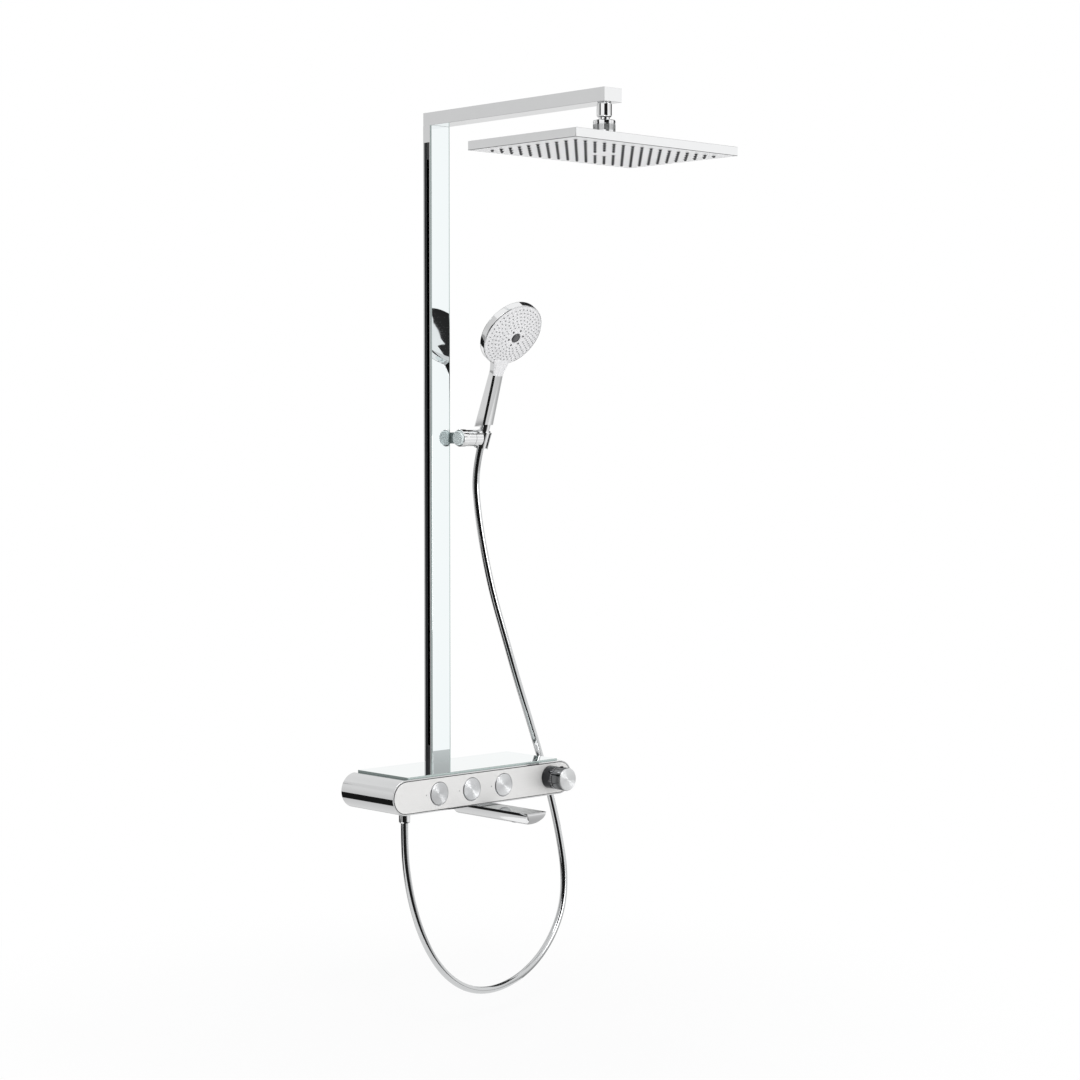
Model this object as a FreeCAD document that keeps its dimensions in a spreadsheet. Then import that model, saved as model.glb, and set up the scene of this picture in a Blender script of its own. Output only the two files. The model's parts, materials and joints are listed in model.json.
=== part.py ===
import FreeCAD, Part
import math
import os
import re
import Sketcher
from FreeCAD import Placement, Rotation, Vector

# Wall-hung thermostatic shower system: mixer with a glass shelf, glass-fronted column with a side slide,
# overhead shower on a square arm, hand shower on a hose, and a bath spout.
# Millimetres. X runs right along the wall, +Y into the wall, +Z up. The origin is midway between the two
# wall inlets, on the wall plane. Most depths are given as distances in front of the wall.

SIZES = [
    # mixer housing
    ("body_w", 426, "housing width"),
    ("body_h", 61, "housing height"),
    ("body_wall", 2.2, "housing wall"),
    ("body_back", 1, "housing back edge in front of the wall"),
    ("body_front", 140, "housing front edge in front of the wall"),
    ("cover_thick", 3, "rear cover thickness"),
    ("trim_gap", 0.35, "joint gap around covers and plates"),
    ("plate_thick", 5, "front plate thickness"),
    ("plate_proud", 0.5, "front plate in front of the housing edge"),
    ("shelf_inset", 35, "housing end beyond the glass shelf"),
    ("shelf_w", "=body_w - 2 * shelf_inset", "glass shelf width"),
    ("shelf_back", 4, "glass shelf back edge"),
    ("shelf_front", 138.7, "glass shelf front edge"),
    ("shelf_thick", 4, "glass shelf thickness"),
    # water ways inside the housing
    ("inlet_pitch", 150, "distance between the wall inlets"),
    ("inlet_thread_r", 10.4, "inlet thread radius"),
    ("inlet_thread_len", 15, "inlet thread length in the wall"),
    ("union_r", 11, "inlet union pipe radius"),
    ("union_collar_r", 14.9, "inlet union collar radius"),
    ("union_collar_at", 24, "inlet union collar in front of the wall"),
    ("union_collar_len", 6, "inlet union collar length"),
    ("union_bore_r", 7, "inlet union bore"),
    ("nut_flats", 34, "inlet nut width across flats"),
    ("nut_lip", 8, "inlet nut lip behind the collar"),
    ("nut_grip", 8, "inlet nut length over the block boss"),
    ("seal_thick", 2, "inlet seal thickness"),
    ("fit_gap", 0.1, "gap of screwed and pushed joints"),
    ("run_gap", 0.06, "running clearance of shafts"),
    ("block_inset", 33, "housing end beyond the mixer block"),
    ("block_w", "=body_w - 2 * block_inset", "mixer block width"),
    ("block_h", 36, "mixer block height"),
    ("block_back", 48, "mixer block back face"),
    ("block_front", 124, "mixer block front face"),
    ("boss_r", 14.9, "inlet boss radius"),
    # push buttons and their valves
    ("button_pitch", 76, "distance between push buttons"),
    ("button_mid_x", -32, "middle push button position"),
    ("button_r", 19.7, "push button radius"),
    ("button_thick", 6, "push button thickness"),
    ("button_proud", 0.9, "push button in front of the plate"),
    ("button_gap", 0.5, "gap around a push button"),
    ("button_bevel", 1, "push button edge bevel"),
    ("stem_r", 4, "push button stem radius"),
    ("stem_len", 31, "push button stem length"),
    ("valve_r", 13, "valve cartridge radius"),
    ("valve_depth", 30, "valve cartridge depth in the block"),
    ("valve_proud", 6, "valve cartridge in front of the block"),
    ("spring_r", 6.2, "button spring outer radius"),
    ("spring_wire", 1.2, "button spring wire"),
    ("spring_pocket", 8, "button spring pocket depth"),
    # temperature knob
    ("knob_inset", 55.5, "knob axis from the housing's right end"),
    ("knob_x", "=body_w / 2 - knob_inset", "knob position"),
    ("knob_z", 3, "knob height above the middle"),
    ("knob_r", 20.8, "knob radius"),
    ("knob_base_len", 26, "fixed scale barrel length"),
    ("knob_grip_len", 19.5, "turning grip length"),
    ("knob_seam", 0.4, "gap between barrel and grip"),
    ("knob_cap_thick", 1.5, "knob end disc thickness"),
    ("knob_spigot_r", 9.9, "scale barrel spigot radius"),
    ("spindle_r", 5, "thermostat spindle radius"),
    ("thermo_r", 15, "thermostat cartridge radius"),
    ("thermo_depth", 38, "thermostat cartridge depth in the block"),
    ("thermo_proud", 7, "thermostat cartridge in front of the block"),
    ("stop_r", 3, "safety stop button radius"),
    ("stop_len", 7, "safety stop button length"),
    ("stop_proud", 1.2, "safety stop button above the grip"),
    ("stop_at", 5, "safety stop button from the grip's back edge"),
    ("stop_travel", 1.5, "safety stop button travel"),
    # bath spout
    ("spout_r", 22.5, "spout half width"),
    ("spout_back", 62, "spout back end"),
    ("spout_front", 271, "spout nose"),
    ("spout_cut", 22, "length of the nose's rounding"),
    ("spout_x", 1, "spout position"),
    ("spout_pipe_r", 10, "spout inlet pipe radius"),
    ("spout_pipe_at", 88, "spout inlet pipe in front of the wall"),
    ("aerator_r", 11, "aerator radius"),
    ("aerator_back", 48, "aerator axis behind the nose"),
    ("aerator_h", 12, "aerator height"),
    # hose outlet
    ("outlet_inset", 51.5, "hose outlet from the housing's left end"),
    ("outlet_x", "=outlet_inset - body_w / 2", "hose outlet position"),
    ("outlet_y", 110, "hose outlet in front of the wall"),
    ("outlet_r", 7.6, "hose outlet nipple radius"),
    ("outlet_len", 9, "hose outlet nipple length below the housing"),
    ("outlet_nut_r", 10, "hose nut radius at the outlet"),
    ("outlet_nut_len", 18, "hose nut length at the outlet"),
    ("hose_d", 13, "hose diameter"),
    ("hose_drop", 36, "straight hose below the outlet nut"),
    ("hose_lead", 50, "straight hose below the hand shower nut"),
    # column
    ("col_w", 43, "column width"),
    ("col_back", 1.5, "column back in front of the wall"),
    ("col_front", 24, "column glass front in front of the wall"),
    ("glass_thick", 4, "column glass thickness"),
    ("col_top", 1140, "column profile top"),
    ("groove_w", 28, "width of the groove in the column's back"),
    ("groove_deep", 3.5, "depth of the groove in the column's back"),
    ("slot_back", 11, "slot mouth back edge in front of the wall"),
    ("slot_front", 18, "slot mouth front edge in front of the wall"),
    ("slot_pocket", 8, "slot pocket back face in front of the wall"),
    ("slot_deep", 9.5, "slot depth"),
    ("slot_lip", 2, "slot lip thickness"),
    ("duct_w", 18, "pipe duct width"),
    ("duct_back", 6.5, "pipe duct back face in front of the wall"),
    ("riser_r", 5, "riser pipe radius"),
    ("riser_y", 12.2, "riser pipe in front of the wall"),
    ("pipe_bore_r", 3.6, "riser and arm pipe bore"),
    ("stop_block_h", 30, "slot end block height"),
    ("bracket_h", 44, "wall bracket height"),
    ("bracket_z", 1072, "wall bracket height above the inlets"),
    ("bracket_gap", 0.3, "wall bracket side clearance"),
    ("screw_pitch", 15, "wall bracket screw distance"),
    ("screw_r", 2.6, "wall bracket screw hole radius"),
    # arm
    ("arm_z", 1170, "arm underside"),
    ("arm_w", 40.6, "arm width"),
    ("arm_h", 23, "arm height"),
    ("arm_back", 0.5, "arm back end in front of the wall"),
    ("arm_wall", 2, "arm wall"),
    ("joint_y", 434, "overhead shower axis in front of the wall"),
    ("arm_nose", 20.4, "arm end beyond the overhead shower axis"),
    ("arm_front", "=joint_y + arm_nose", "arm front end in front of the wall"),
    ("elbow_half", 9, "half width of the pipe fittings in the arm"),
    # ball joint
    ("barrel_h", 24, "ball stud barrel height"),
    ("barrel_r", 12.5, "ball stud barrel radius"),
    ("barrel_bevel", 2, "ball stud barrel bevel"),
    ("neck_r", 9, "ball stud neck radius"),
    ("throat_r", 6.5, "ball stud throat radius"),
    ("ball_r", 11, "ball radius"),
    ("ball_drop", 43, "ball centre below the arm"),
    ("ball_bore_r", 3.4, "water way through the ball"),
    ("seat_thick", 2, "ball seat thickness"),
    ("seat_high", -23, "ball seat upper latitude"),
    ("seat_low", -56, "ball seat lower latitude"),
    ("collar_r", 18.5, "union collar radius"),
    ("collar_rise", 14, "union collar top above the ball centre"),
    ("collar_drop", 9, "union collar foot below the ball centre"),
    ("collar_mouth_r", 12.6, "union collar mouth radius"),
    ("collar_lip_r", 10.5, "union collar lip radius"),
    ("collar_lip_z", 5.4, "union collar lip above the ball centre"),
    ("ball_room", 0.7, "clearance round the ball"),
    ("socket_r", 15.3, "overhead shower socket radius"),
    ("socket_foot_r", 21, "overhead shower socket foot radius"),
    ("socket_foot_h", 4, "overhead shower socket foot height"),
    ("socket_top", -2.4, "overhead shower socket top from the ball centre"),
    # overhead shower
    ("head_w", 380, "overhead shower width"),
    ("head_d", 252, "overhead shower depth"),
    ("head_h", 15.2, "overhead shower thickness"),
    ("head_drop", 24.7, "overhead shower top below the ball centre"),
    ("head_wall", 2, "overhead shower shell wall"),
    ("spray_thick", 3, "spray plate thickness"),
    ("nozzle_pitch", 21.6, "overhead nozzle distance"),
    ("nozzle_r", 2.9, "overhead nozzle root radius"),
    ("nozzle_tip_r", 2, "overhead nozzle tip radius"),
    ("nozzle_len", 2.8, "overhead nozzle length"),
    # slide and holder
    ("slide_x", 22, "slide button face position"),
    ("slide_y", 42, "slide barrel axis in front of the wall"),
    ("slide_z", 615.7, "slide barrel height at rest"),
    ("slide_r", 14.5, "slide barrel radius"),
    ("slide_rim_r", 15.5, "slide barrel rim radius"),
    ("slide_rim_len", 13, "slide barrel rim length"),
    ("slide_end", 57.4, "slide barrel end position"),
    ("press_r", 13.2, "slide button radius"),
    ("press_len", 11, "slide button length"),
    ("press_proud", 5, "slide button in front of the rim"),
    ("press_gap", 0.35, "gap around the slide button"),
    ("press_travel", 3, "slide button travel"),
    ("press_spare", 2.5, "spring length left when the slide button is pressed"),
    ("press_room", "=press_travel + press_spare", "spring room behind the slide button"),
    ("shoe_h", 44, "slide shoe height"),
    ("shoe_gap", 0.3, "slide shoe side clearance"),
    ("bridge_h", 20, "slide bridge height"),
    ("bridge_w", 20, "slide bridge width"),
    ("pin_r", 5, "holder pin radius"),
    ("pin_start", 44, "holder pin start position"),
    ("pin_end", 70, "holder pin end position"),
    ("holder_x", 84, "hand shower axis position"),
    ("holder_seam", 0.3, "gap between slide barrel and holder"),
    ("lean", 18.4, "hand shower lean from the vertical"),
    ("cup_h", 29, "holder cup height"),
    ("cup_sink", 18, "holder cup foot below the holder axis"),
    ("cup_top_r", 14.4, "holder cup outer radius at its top"),
    ("cup_foot_r", 13.2, "holder cup outer radius at its foot"),
    ("cup_bore_top_r", 12.2, "holder cup bore at its top"),
    ("cup_bore_foot_r", 10.4, "holder cup bore at its foot"),
    ("cup_slot", 14.5, "holder cup slot width"),
    ("cup_gap", 0.3, "clearance of the hose nut in the holder cup"),
    # hand shower
    ("nut_rise", 14, "conical hose nut shoulder above the holder axis"),
    ("nut_sink", 18, "conical hose nut foot below the holder axis"),
    ("nut_neck_r", 9.2, "hose nut neck radius"),
    ("nut_neck_top", 34, "hose nut neck top above the holder axis"),
    ("foot_up", 24, "handle foot above the holder axis"),
    ("foot_tilt", 24, "handle foot slope, lower at the back"),
    ("handle_top", 176, "handle top above the holder axis"),
    ("grip_half", 12.6, "handle half width at the grip"),
    ("grip_front", 10.5, "handle front from its axis at the grip"),
    ("grip_back", 22.5, "handle back from its axis at the grip"),
    ("grip_corner", 6.5, "handle corner radius"),
    ("neck_half", 11.6, "handle half width under the spray head"),
    ("neck_front", 8, "handle front from its axis under the spray head"),
    ("neck_back", 15.2, "handle back from its axis under the spray head"),
    ("flare_half", 36, "handle half width behind the spray head"),
    ("neck_low", 119, "pale neck lower end above the holder axis"),
    ("neck_split", 3, "pale neck back plane in front of the handle axis"),
    ("face_up", 198.5, "spray rim centre above the holder axis"),
    ("face_out", 19.3, "spray rim centre in front of the handle axis"),
    ("face_tilt", 15.8, "spray face tilt from the handle axis"),
    ("rim_r", 62.3, "spray head radius"),
    ("rim_thick", 14.2, "spray head rim thickness"),
    ("dome_deep", 25, "spray head depth"),
    ("dome_r", 44, "spray head dome radius"),
    ("face_r", 60.6, "spray face radius"),
    ("face_seat", 5, "spray face seat depth"),
    ("face_crown", 9.2, "spray face crown height"),
    ("core_r", 9, "spray face centre cap radius"),
    ("jet_r", 1.1, "hand shower nozzle radius"),
    ("jet_len", 1, "hand shower nozzle length"),
    ("jet_first_r", 24, "first nozzle ring radius"),
    ("jet_step", 7.2, "nozzle ring distance"),
    ("jet_clear", 0.6, "nozzle distance from the pale neck"),
]

NOZZLE_COLUMNS = 16
NOZZLE_ROWS = 10
JET_COUNTS = (16, 20, 24, 28, 32)
ALIASES = {name for name, _, _ in SIZES}

doc = FreeCAD.newDocument("shower_system")
sheet = doc.addObject("Spreadsheet::Sheet", "Sizes")
for row, (name, number, words) in enumerate(SIZES, start=1):
    sheet.set("A%d" % row, words)
    sheet.set("B%d" % row, str(number))
    sheet.setAlias("B%d" % row, name)
doc.recompute()

NODES = {}
FORWARD = Rotation(Vector(1, 0, 0), 90)
RIGHTWARD = Rotation(Vector(0, 1, 0), 90)
UPRIGHT = Rotation()


def ex(text):
    """Gives the words in an expression their place in the sheet."""
    def in_sheet(match):
        word = match.group()
        return "Sizes." + word if word in ALIASES else word

    return re.sub(r"[a-z][a-z_0-9]*", in_sheet, text)


def val(text):
    """Works out an expression now, as a plain number."""
    return float(sheet.evalExpression(ex(text)))


def bind(thing, **properties):
    """Ties properties of a document object to expressions."""
    for name, text in properties.items():
        thing.setExpression(name, ex(text))


def place(thing, at, turn=UPRIGHT):
    """Puts an object at a point given by three expressions, turned as said."""
    thing.Placement = Placement(Vector(0, 0, 0), turn)
    for name, text in zip("xyz", at):
        thing.setExpression("Placement.Base." + name, ex(text))
    return thing


def node(label, thing):
    """Marks an object as a piece of the part, under its own name."""
    thing.Label = label
    NODES[label] = thing
    return thing


def box(name, size, at, turn=UPRIGHT):
    block = doc.addObject("Part::Box", name)
    bind(block, Length=size[0], Width=size[1], Height=size[2])
    return place(block, at, turn)


def rod(name, radius, length, at, turn=UPRIGHT):
    cylinder = doc.addObject("Part::Cylinder", name)
    bind(cylinder, Radius=radius, Height=length)
    return place(cylinder, at, turn)


def taper(name, low_radius, high_radius, length, at, turn=UPRIGHT):
    cone = doc.addObject("Part::Cone", name)
    bind(cone, Radius1=low_radius, Radius2=high_radius, Height=length)
    return place(cone, at, turn)


def ball(name, radius, at, low="-90", high="90"):
    sphere = doc.addObject("Part::Sphere", name)
    bind(sphere, Radius=radius, Angle1=low, Angle2=high)
    return place(sphere, at)


def joined(name, *pieces):
    union = doc.addObject("Part::MultiFuse", name)
    union.Shapes = list(pieces)
    union.Refine = True
    return union


def without(name, base, *tools):
    difference = doc.addObject("Part::Cut", name)
    difference.Base = base
    difference.Tool = tools[0] if len(tools) == 1 else joined(name + "_tools", *tools)
    return difference


def shared(name, *pieces):
    overlap = doc.addObject("Part::MultiCommon", name)
    overlap.Shapes = list(pieces)
    return overlap


def group(name, *pieces):
    compound = doc.addObject("Part::Compound", name)
    compound.Links = list(pieces)
    return compound


def sketch_in(body, role, offset="0"):
    """Opens a sketch on one of a body's own planes, moved along the plane's normal."""
    plane = next(f for f in body.Origin.OriginFeatures if f.Role == role)
    sketch = body.newObject("Sketcher::SketchObject", body.Name + "_sketch")
    sketch.AttachmentSupport = [(plane, "")]
    sketch.MapMode = "FlatFace"
    sketch.setExpression("AttachmentOffset.Base.z", ex(offset))
    return sketch


def pin_point(sketch, line, x, y):
    """Holds the start of a sketch line at a point given by two expressions."""
    for kind, text, axis in (("DistanceX", x, -2), ("DistanceY", y, -1)):
        if text == "0":
            sketch.addConstraint(Sketcher.Constraint("PointOnObject", line, 1, axis))
        else:
            index = sketch.addConstraint(Sketcher.Constraint(kind, -1, 1, line, 1, val(text)))
            sketch.setExpression("Constraints[%d]" % index, ex(text))


def outline(sketch, points):
    """Draws a closed straight-sided outline through points given as expressions."""
    corners = [Vector(val(x), val(y), 0) for x, y in points]
    first = sketch.GeometryCount
    count = len(corners)
    for i in range(count):
        sketch.addGeometry(Part.LineSegment(corners[i], corners[(i + 1) % count]), False)
    for i in range(count):
        sketch.addConstraint(Sketcher.Constraint("Coincident", first + i, 2, first + (i + 1) % count, 1))
    for i, (x, y) in enumerate(points):
        pin_point(sketch, first + i, x, y)


def stadium(sketch, half_length, radius):
    """Draws a round-ended outline lying along the sketch's horizontal axis."""
    reach, r = val(half_length), val(radius)
    up, side = Vector(0, 0, 1), Vector(reach, 0, 0)
    top = sketch.addGeometry(Part.LineSegment(Vector(reach, r, 0), Vector(-reach, r, 0)), False)
    low = sketch.addGeometry(Part.LineSegment(Vector(-reach, -r, 0), Vector(reach, -r, 0)), False)
    left = sketch.addGeometry(Part.ArcOfCircle(Part.Circle(-side, up, r), math.pi / 2, 1.5 * math.pi), False)
    right = sketch.addGeometry(Part.ArcOfCircle(Part.Circle(side, up, r), -math.pi / 2, math.pi / 2), False)
    for a, a_end, b, b_end in ((top, 2, left, 1), (left, 2, low, 1), (low, 2, right, 1), (right, 2, top, 1)):
        sketch.addConstraint(Sketcher.Constraint("Tangent", a, a_end, b, b_end))
    for arc, sign in ((left, "-"), (right, "")):
        text = sign + "(" + half_length + ")"
        sketch.addConstraint(Sketcher.Constraint("PointOnObject", arc, 3, -1))
        index = sketch.addConstraint(Sketcher.Constraint("DistanceX", -1, 1, arc, 3, val(text)))
        sketch.setExpression("Constraints[%d]" % index, ex(text))
        index = sketch.addConstraint(Sketcher.Constraint("Radius", arc, r))
        sketch.setExpression("Constraints[%d]" % index, ex(radius))


def turned(name, points, at=("0", "0", "0"), turn=UPRIGHT):
    """Turns a profile of radius and height pairs about the upright axis, then places the body."""
    body = doc.addObject("PartDesign::Body", name)
    sketch = sketch_in(body, "XZ_Plane")
    outline(sketch, points)
    lathe = body.newObject("PartDesign::Revolution", name + "_turn")
    lathe.Profile = sketch
    lathe.ReferenceAxis = (sketch, ["V_Axis"])
    lathe.Angle = 360
    sketch.Visibility = False
    return place(body, at, turn)


def padded(name, role, draw, length, offset="0"):
    """Pads what a drawing function puts in a sketch on one of the body's planes."""
    body = doc.addObject("PartDesign::Body", name)
    sketch = sketch_in(body, role, offset)
    draw(sketch)
    pad = body.newObject("PartDesign::Pad", name + "_pad")
    pad.Profile = sketch
    bind(pad, Length=length)
    sketch.Visibility = False
    return body


def round_plate(name, width, height, front, thickness):
    """A round-ended plate facing forward, from a depth in front of the wall."""
    return padded(
        name,
        "XZ_Plane",
        lambda s: stadium(s, "(" + width + ") / 2 - (" + height + ") / 2", "(" + height + ") / 2"),
        thickness,
        "(" + front + ") - (" + thickness + ")",
    )


def hexagon(center, radius):
    """A flat six-sided wire."""
    turns = [i * math.pi / 3 for i in range(7)]
    return Part.makePolygon([center + Vector(radius * math.cos(t), radius * math.sin(t), 0) for t in turns])


INNER_W = "body_w - 2 * body_wall"
INNER_H = "body_h - 2 * body_wall"
SHELF_TOP = "body_h / 2 + shelf_thick"
PLATE_FRONT = "body_front + plate_proud"
BUTTONS = (
    ("left", "button_mid_x - button_pitch"),
    ("middle", "button_mid_x"),
    ("right", "button_mid_x + button_pitch"),
)
SIDES = (("left", "-"), ("right", ""))
COVER_W = INNER_W + " - 2 * trim_gap"
COVER_H = INNER_H + " - 2 * trim_gap"
BALL_Z = "arm_z - ball_drop"
HEAD_TOP = "arm_z - ball_drop - head_drop"
PIVOT = ("holder_x", "-slide_y", "slide_z")
GRIP_BACK = "body_front + plate_proud + knob_base_len + knob_seam"
GRIP_FRONT = "body_front + plate_proud + knob_base_len + knob_seam + knob_grip_len"


def housing():
    """The mixer's housing, covers, front plate and glass shelf."""
    skin = round_plate("shell_skin", "body_w", "body_h", "body_front", "body_front - body_back")
    room = round_plate("shell_room", INNER_W, INNER_H, "body_front + 1", "body_front - body_back + 2")
    riser = rod("shell_riser_hole", "riser_r + 1", "body_h", ("0", "-riser_y", "0"))
    spout = rod("shell_spout_hole", "spout_pipe_r + 0.5", "body_h", ("spout_x", "-spout_pipe_at", "-body_h"))
    outlet = rod("shell_outlet_hole", "outlet_r + 0.5", "body_h", ("outlet_x", "-outlet_y", "-body_h"))
    node("body_shell", without("shell_cut", skin, room, riser, spout, outlet))

    plate = round_plate("cover_blank", COVER_W, COVER_H, "body_back + cover_thick", "cover_thick")
    holes = []
    for side, sign in SIDES:
        at = (sign + "inlet_pitch / 2", "-body_back + 1", "0")
        holes.append(rod("cover_hole_" + side, "union_r + 0.5", "cover_thick + 2", at, FORWARD))
    node("rear_cover", without("cover_cut", plate, *holes))

    plate = round_plate("plate_blank", COVER_W, COVER_H, PLATE_FRONT, "plate_thick")
    start = "-(" + PLATE_FRONT + " - plate_thick) + 1"
    holes = [
        rod("plate_hole_" + side, "button_r + button_gap", "plate_thick + 2", (x, start, "0"), FORWARD)
        for side, x in BUTTONS
    ]
    at = ("knob_x", start, "knob_z")
    holes.append(rod("plate_hole_knob", "knob_spigot_r + trim_gap", "plate_thick + 2", at, FORWARD))
    node("front_plate", without("plate_cut", plate, *holes))

    slab = box(
        "shelf_slab",
        ("shelf_w", "shelf_front - shelf_back", "shelf_thick"),
        ("-shelf_w / 2", "-shelf_front", "body_h / 2"),
    )
    hole = rod("shelf_hole", "riser_r + 1", "shelf_thick + 2", ("0", "-riser_y", "body_h / 2 - 1"))
    node("glass_shelf", without("shelf_cut", slab, hole))


def water_block():
    """The brass block in the housing, the wall inlets and the nuts that hold them."""
    bar = box(
        "block_bar",
        ("block_w", "block_front - block_back", "block_h"),
        ("-block_w / 2", "-block_front", "-block_h / 2"),
    )
    boss_start = "union_collar_at + union_collar_len + seal_thick"
    bosses = [
        rod("block_boss_" + side, "boss_r", "block_back - (" + boss_start + ")",
            (sign + "inlet_pitch / 2", "-(" + boss_start + ")", "0"), FORWARD)
        for side, sign in SIDES
    ]
    tower = box(
        "block_tower",
        ("3.2 * riser_r", "block_back - riser_y + 1.6 * riser_r", "block_h / 2 + 4"),
        ("-1.6 * riser_r", "-block_back", "-block_h / 2"),
    )
    solid = joined("block_solid", bar, tower, *bosses)
    bores = []
    for side, x in BUTTONS:
        at = (x, "-block_front + valve_depth", "0")
        bores.append(rod("block_valve_" + side, "valve_r + fit_gap", "valve_depth + 1", at, FORWARD))
    at = ("knob_x", "-block_front + thermo_depth", "knob_z")
    bores.append(rod("block_thermo", "thermo_r + fit_gap", "thermo_depth + 1", at, FORWARD))
    bores += [
        rod("block_inlet_" + side, "union_bore_r", "block_back - (" + boss_start + ") + 12",
            (sign + "inlet_pitch / 2", "-(" + boss_start + ") + 1", "0"), FORWARD)
        for side, sign in SIDES
    ]
    bores.append(rod("block_riser", "riser_r + fit_gap", "block_h", ("0", "-riser_y", "0")))
    low = "-block_h / 2 - 1"
    bores.append(rod("block_spout", "spout_pipe_r + fit_gap", "10", ("spout_x", "-spout_pipe_at", low)))
    bores.append(rod("block_outlet", "outlet_r + fit_gap", "10", ("outlet_x", "-outlet_y", low)))
    node("mixer_block", without("block_cut", solid, *bores))

    unions = []
    nuts = []
    seals = []
    collar_end = "union_collar_at + union_collar_len"
    for side, sign in SIDES:
        at = (sign + "inlet_pitch / 2", "0", "0")
        unions.append(
            turned(
                "union_" + side,
                [
                    ("union_bore_r", "-inlet_thread_len"),
                    ("inlet_thread_r", "-inlet_thread_len"),
                    ("inlet_thread_r", "0"),
                    ("union_r", "0"),
                    ("union_r", "union_collar_at"),
                    ("union_collar_r", "union_collar_at"),
                    ("union_collar_r", collar_end),
                    ("union_bore_r", collar_end),
                ],
                at,
                FORWARD,
            )
        )
        prism = doc.addObject("Part::Prism", "nut_prism_" + side)
        prism.Polygon = 6
        length = "nut_lip + union_collar_len + seal_thick + nut_grip"
        bind(prism, Circumradius="nut_flats / 2 / cos(30)", Height=length)
        place(prism, (at[0], "-union_collar_at + nut_lip", "0"), FORWARD)
        lip_at = (at[0], "-union_collar_at + nut_lip + 1", "0")
        lip = rod("nut_lip_" + side, "union_r + fit_gap", "nut_lip + 2", lip_at, FORWARD)
        grip = rod(
            "nut_grip_" + side,
            "union_collar_r + fit_gap",
            "union_collar_len + seal_thick + nut_grip + 1",
            (at[0], "-union_collar_at", "0"),
            FORWARD,
        )
        nuts.append(without("nut_" + side, prism, lip, grip))
        seals.append(
            turned(
                "seal_" + side,
                [
                    ("union_bore_r", collar_end),
                    ("union_collar_r - 0.4", collar_end),
                    ("union_collar_r - 0.4", boss_start),
                    ("union_bore_r", boss_start),
                ],
                at,
                FORWARD,
            )
        )
    node("inlet_unions", group("unions", *unions))
    node("inlet_nuts", group("nuts", *nuts))
    node("inlet_seals", group("seals", *seals))


def buttons():
    """Three push buttons with their stems, springs and valve cartridges."""
    front = PLATE_FRONT + " + button_proud"
    back = "(" + front + " - button_thick)"
    mouth = "block_front + valve_proud"
    cartridges = []
    springs = []
    for side, x in BUTTONS:
        node(
            "button_cap_" + side,
            turned(
                "cap_" + side,
                [
                    ("0", back),
                    ("button_r", back),
                    ("button_r", front + " - button_bevel"),
                    ("button_r - button_bevel", front),
                    ("0", front),
                ],
                (x, "0", "0"),
                FORWARD,
            ),
        )
        stem = rod("stem_" + side, "stem_r", "stem_len", (x, "-" + back + " + stem_len", "0"), FORWARD)
        node("button_stem_" + side, stem)
        cartridges.append(
            turned(
                "valve_" + side,
                [
                    ("0", "block_front - valve_depth"),
                    ("valve_r", "block_front - valve_depth"),
                    ("valve_r", mouth),
                    ("spring_r + 0.4", mouth),
                    ("spring_r + 0.4", mouth + " - spring_pocket"),
                    ("stem_r + run_gap", mouth + " - spring_pocket"),
                    ("stem_r + run_gap", back + " - stem_len - 5"),
                    ("0", back + " - stem_len - 5"),
                ],
                (x, "0", "0"),
                FORWARD,
            )
        )
        springs.append(
            turned(
                "spring_" + side,
                [
                    ("spring_r - spring_wire", mouth + " - spring_pocket"),
                    ("spring_r", mouth + " - spring_pocket"),
                    ("spring_r", back),
                    ("spring_r - spring_wire", back),
                ],
                (x, "0", "0"),
                FORWARD,
            )
        )
    node("valve_cartridges", group("valves", *cartridges))
    node("button_springs", group("springs", *springs))


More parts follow.
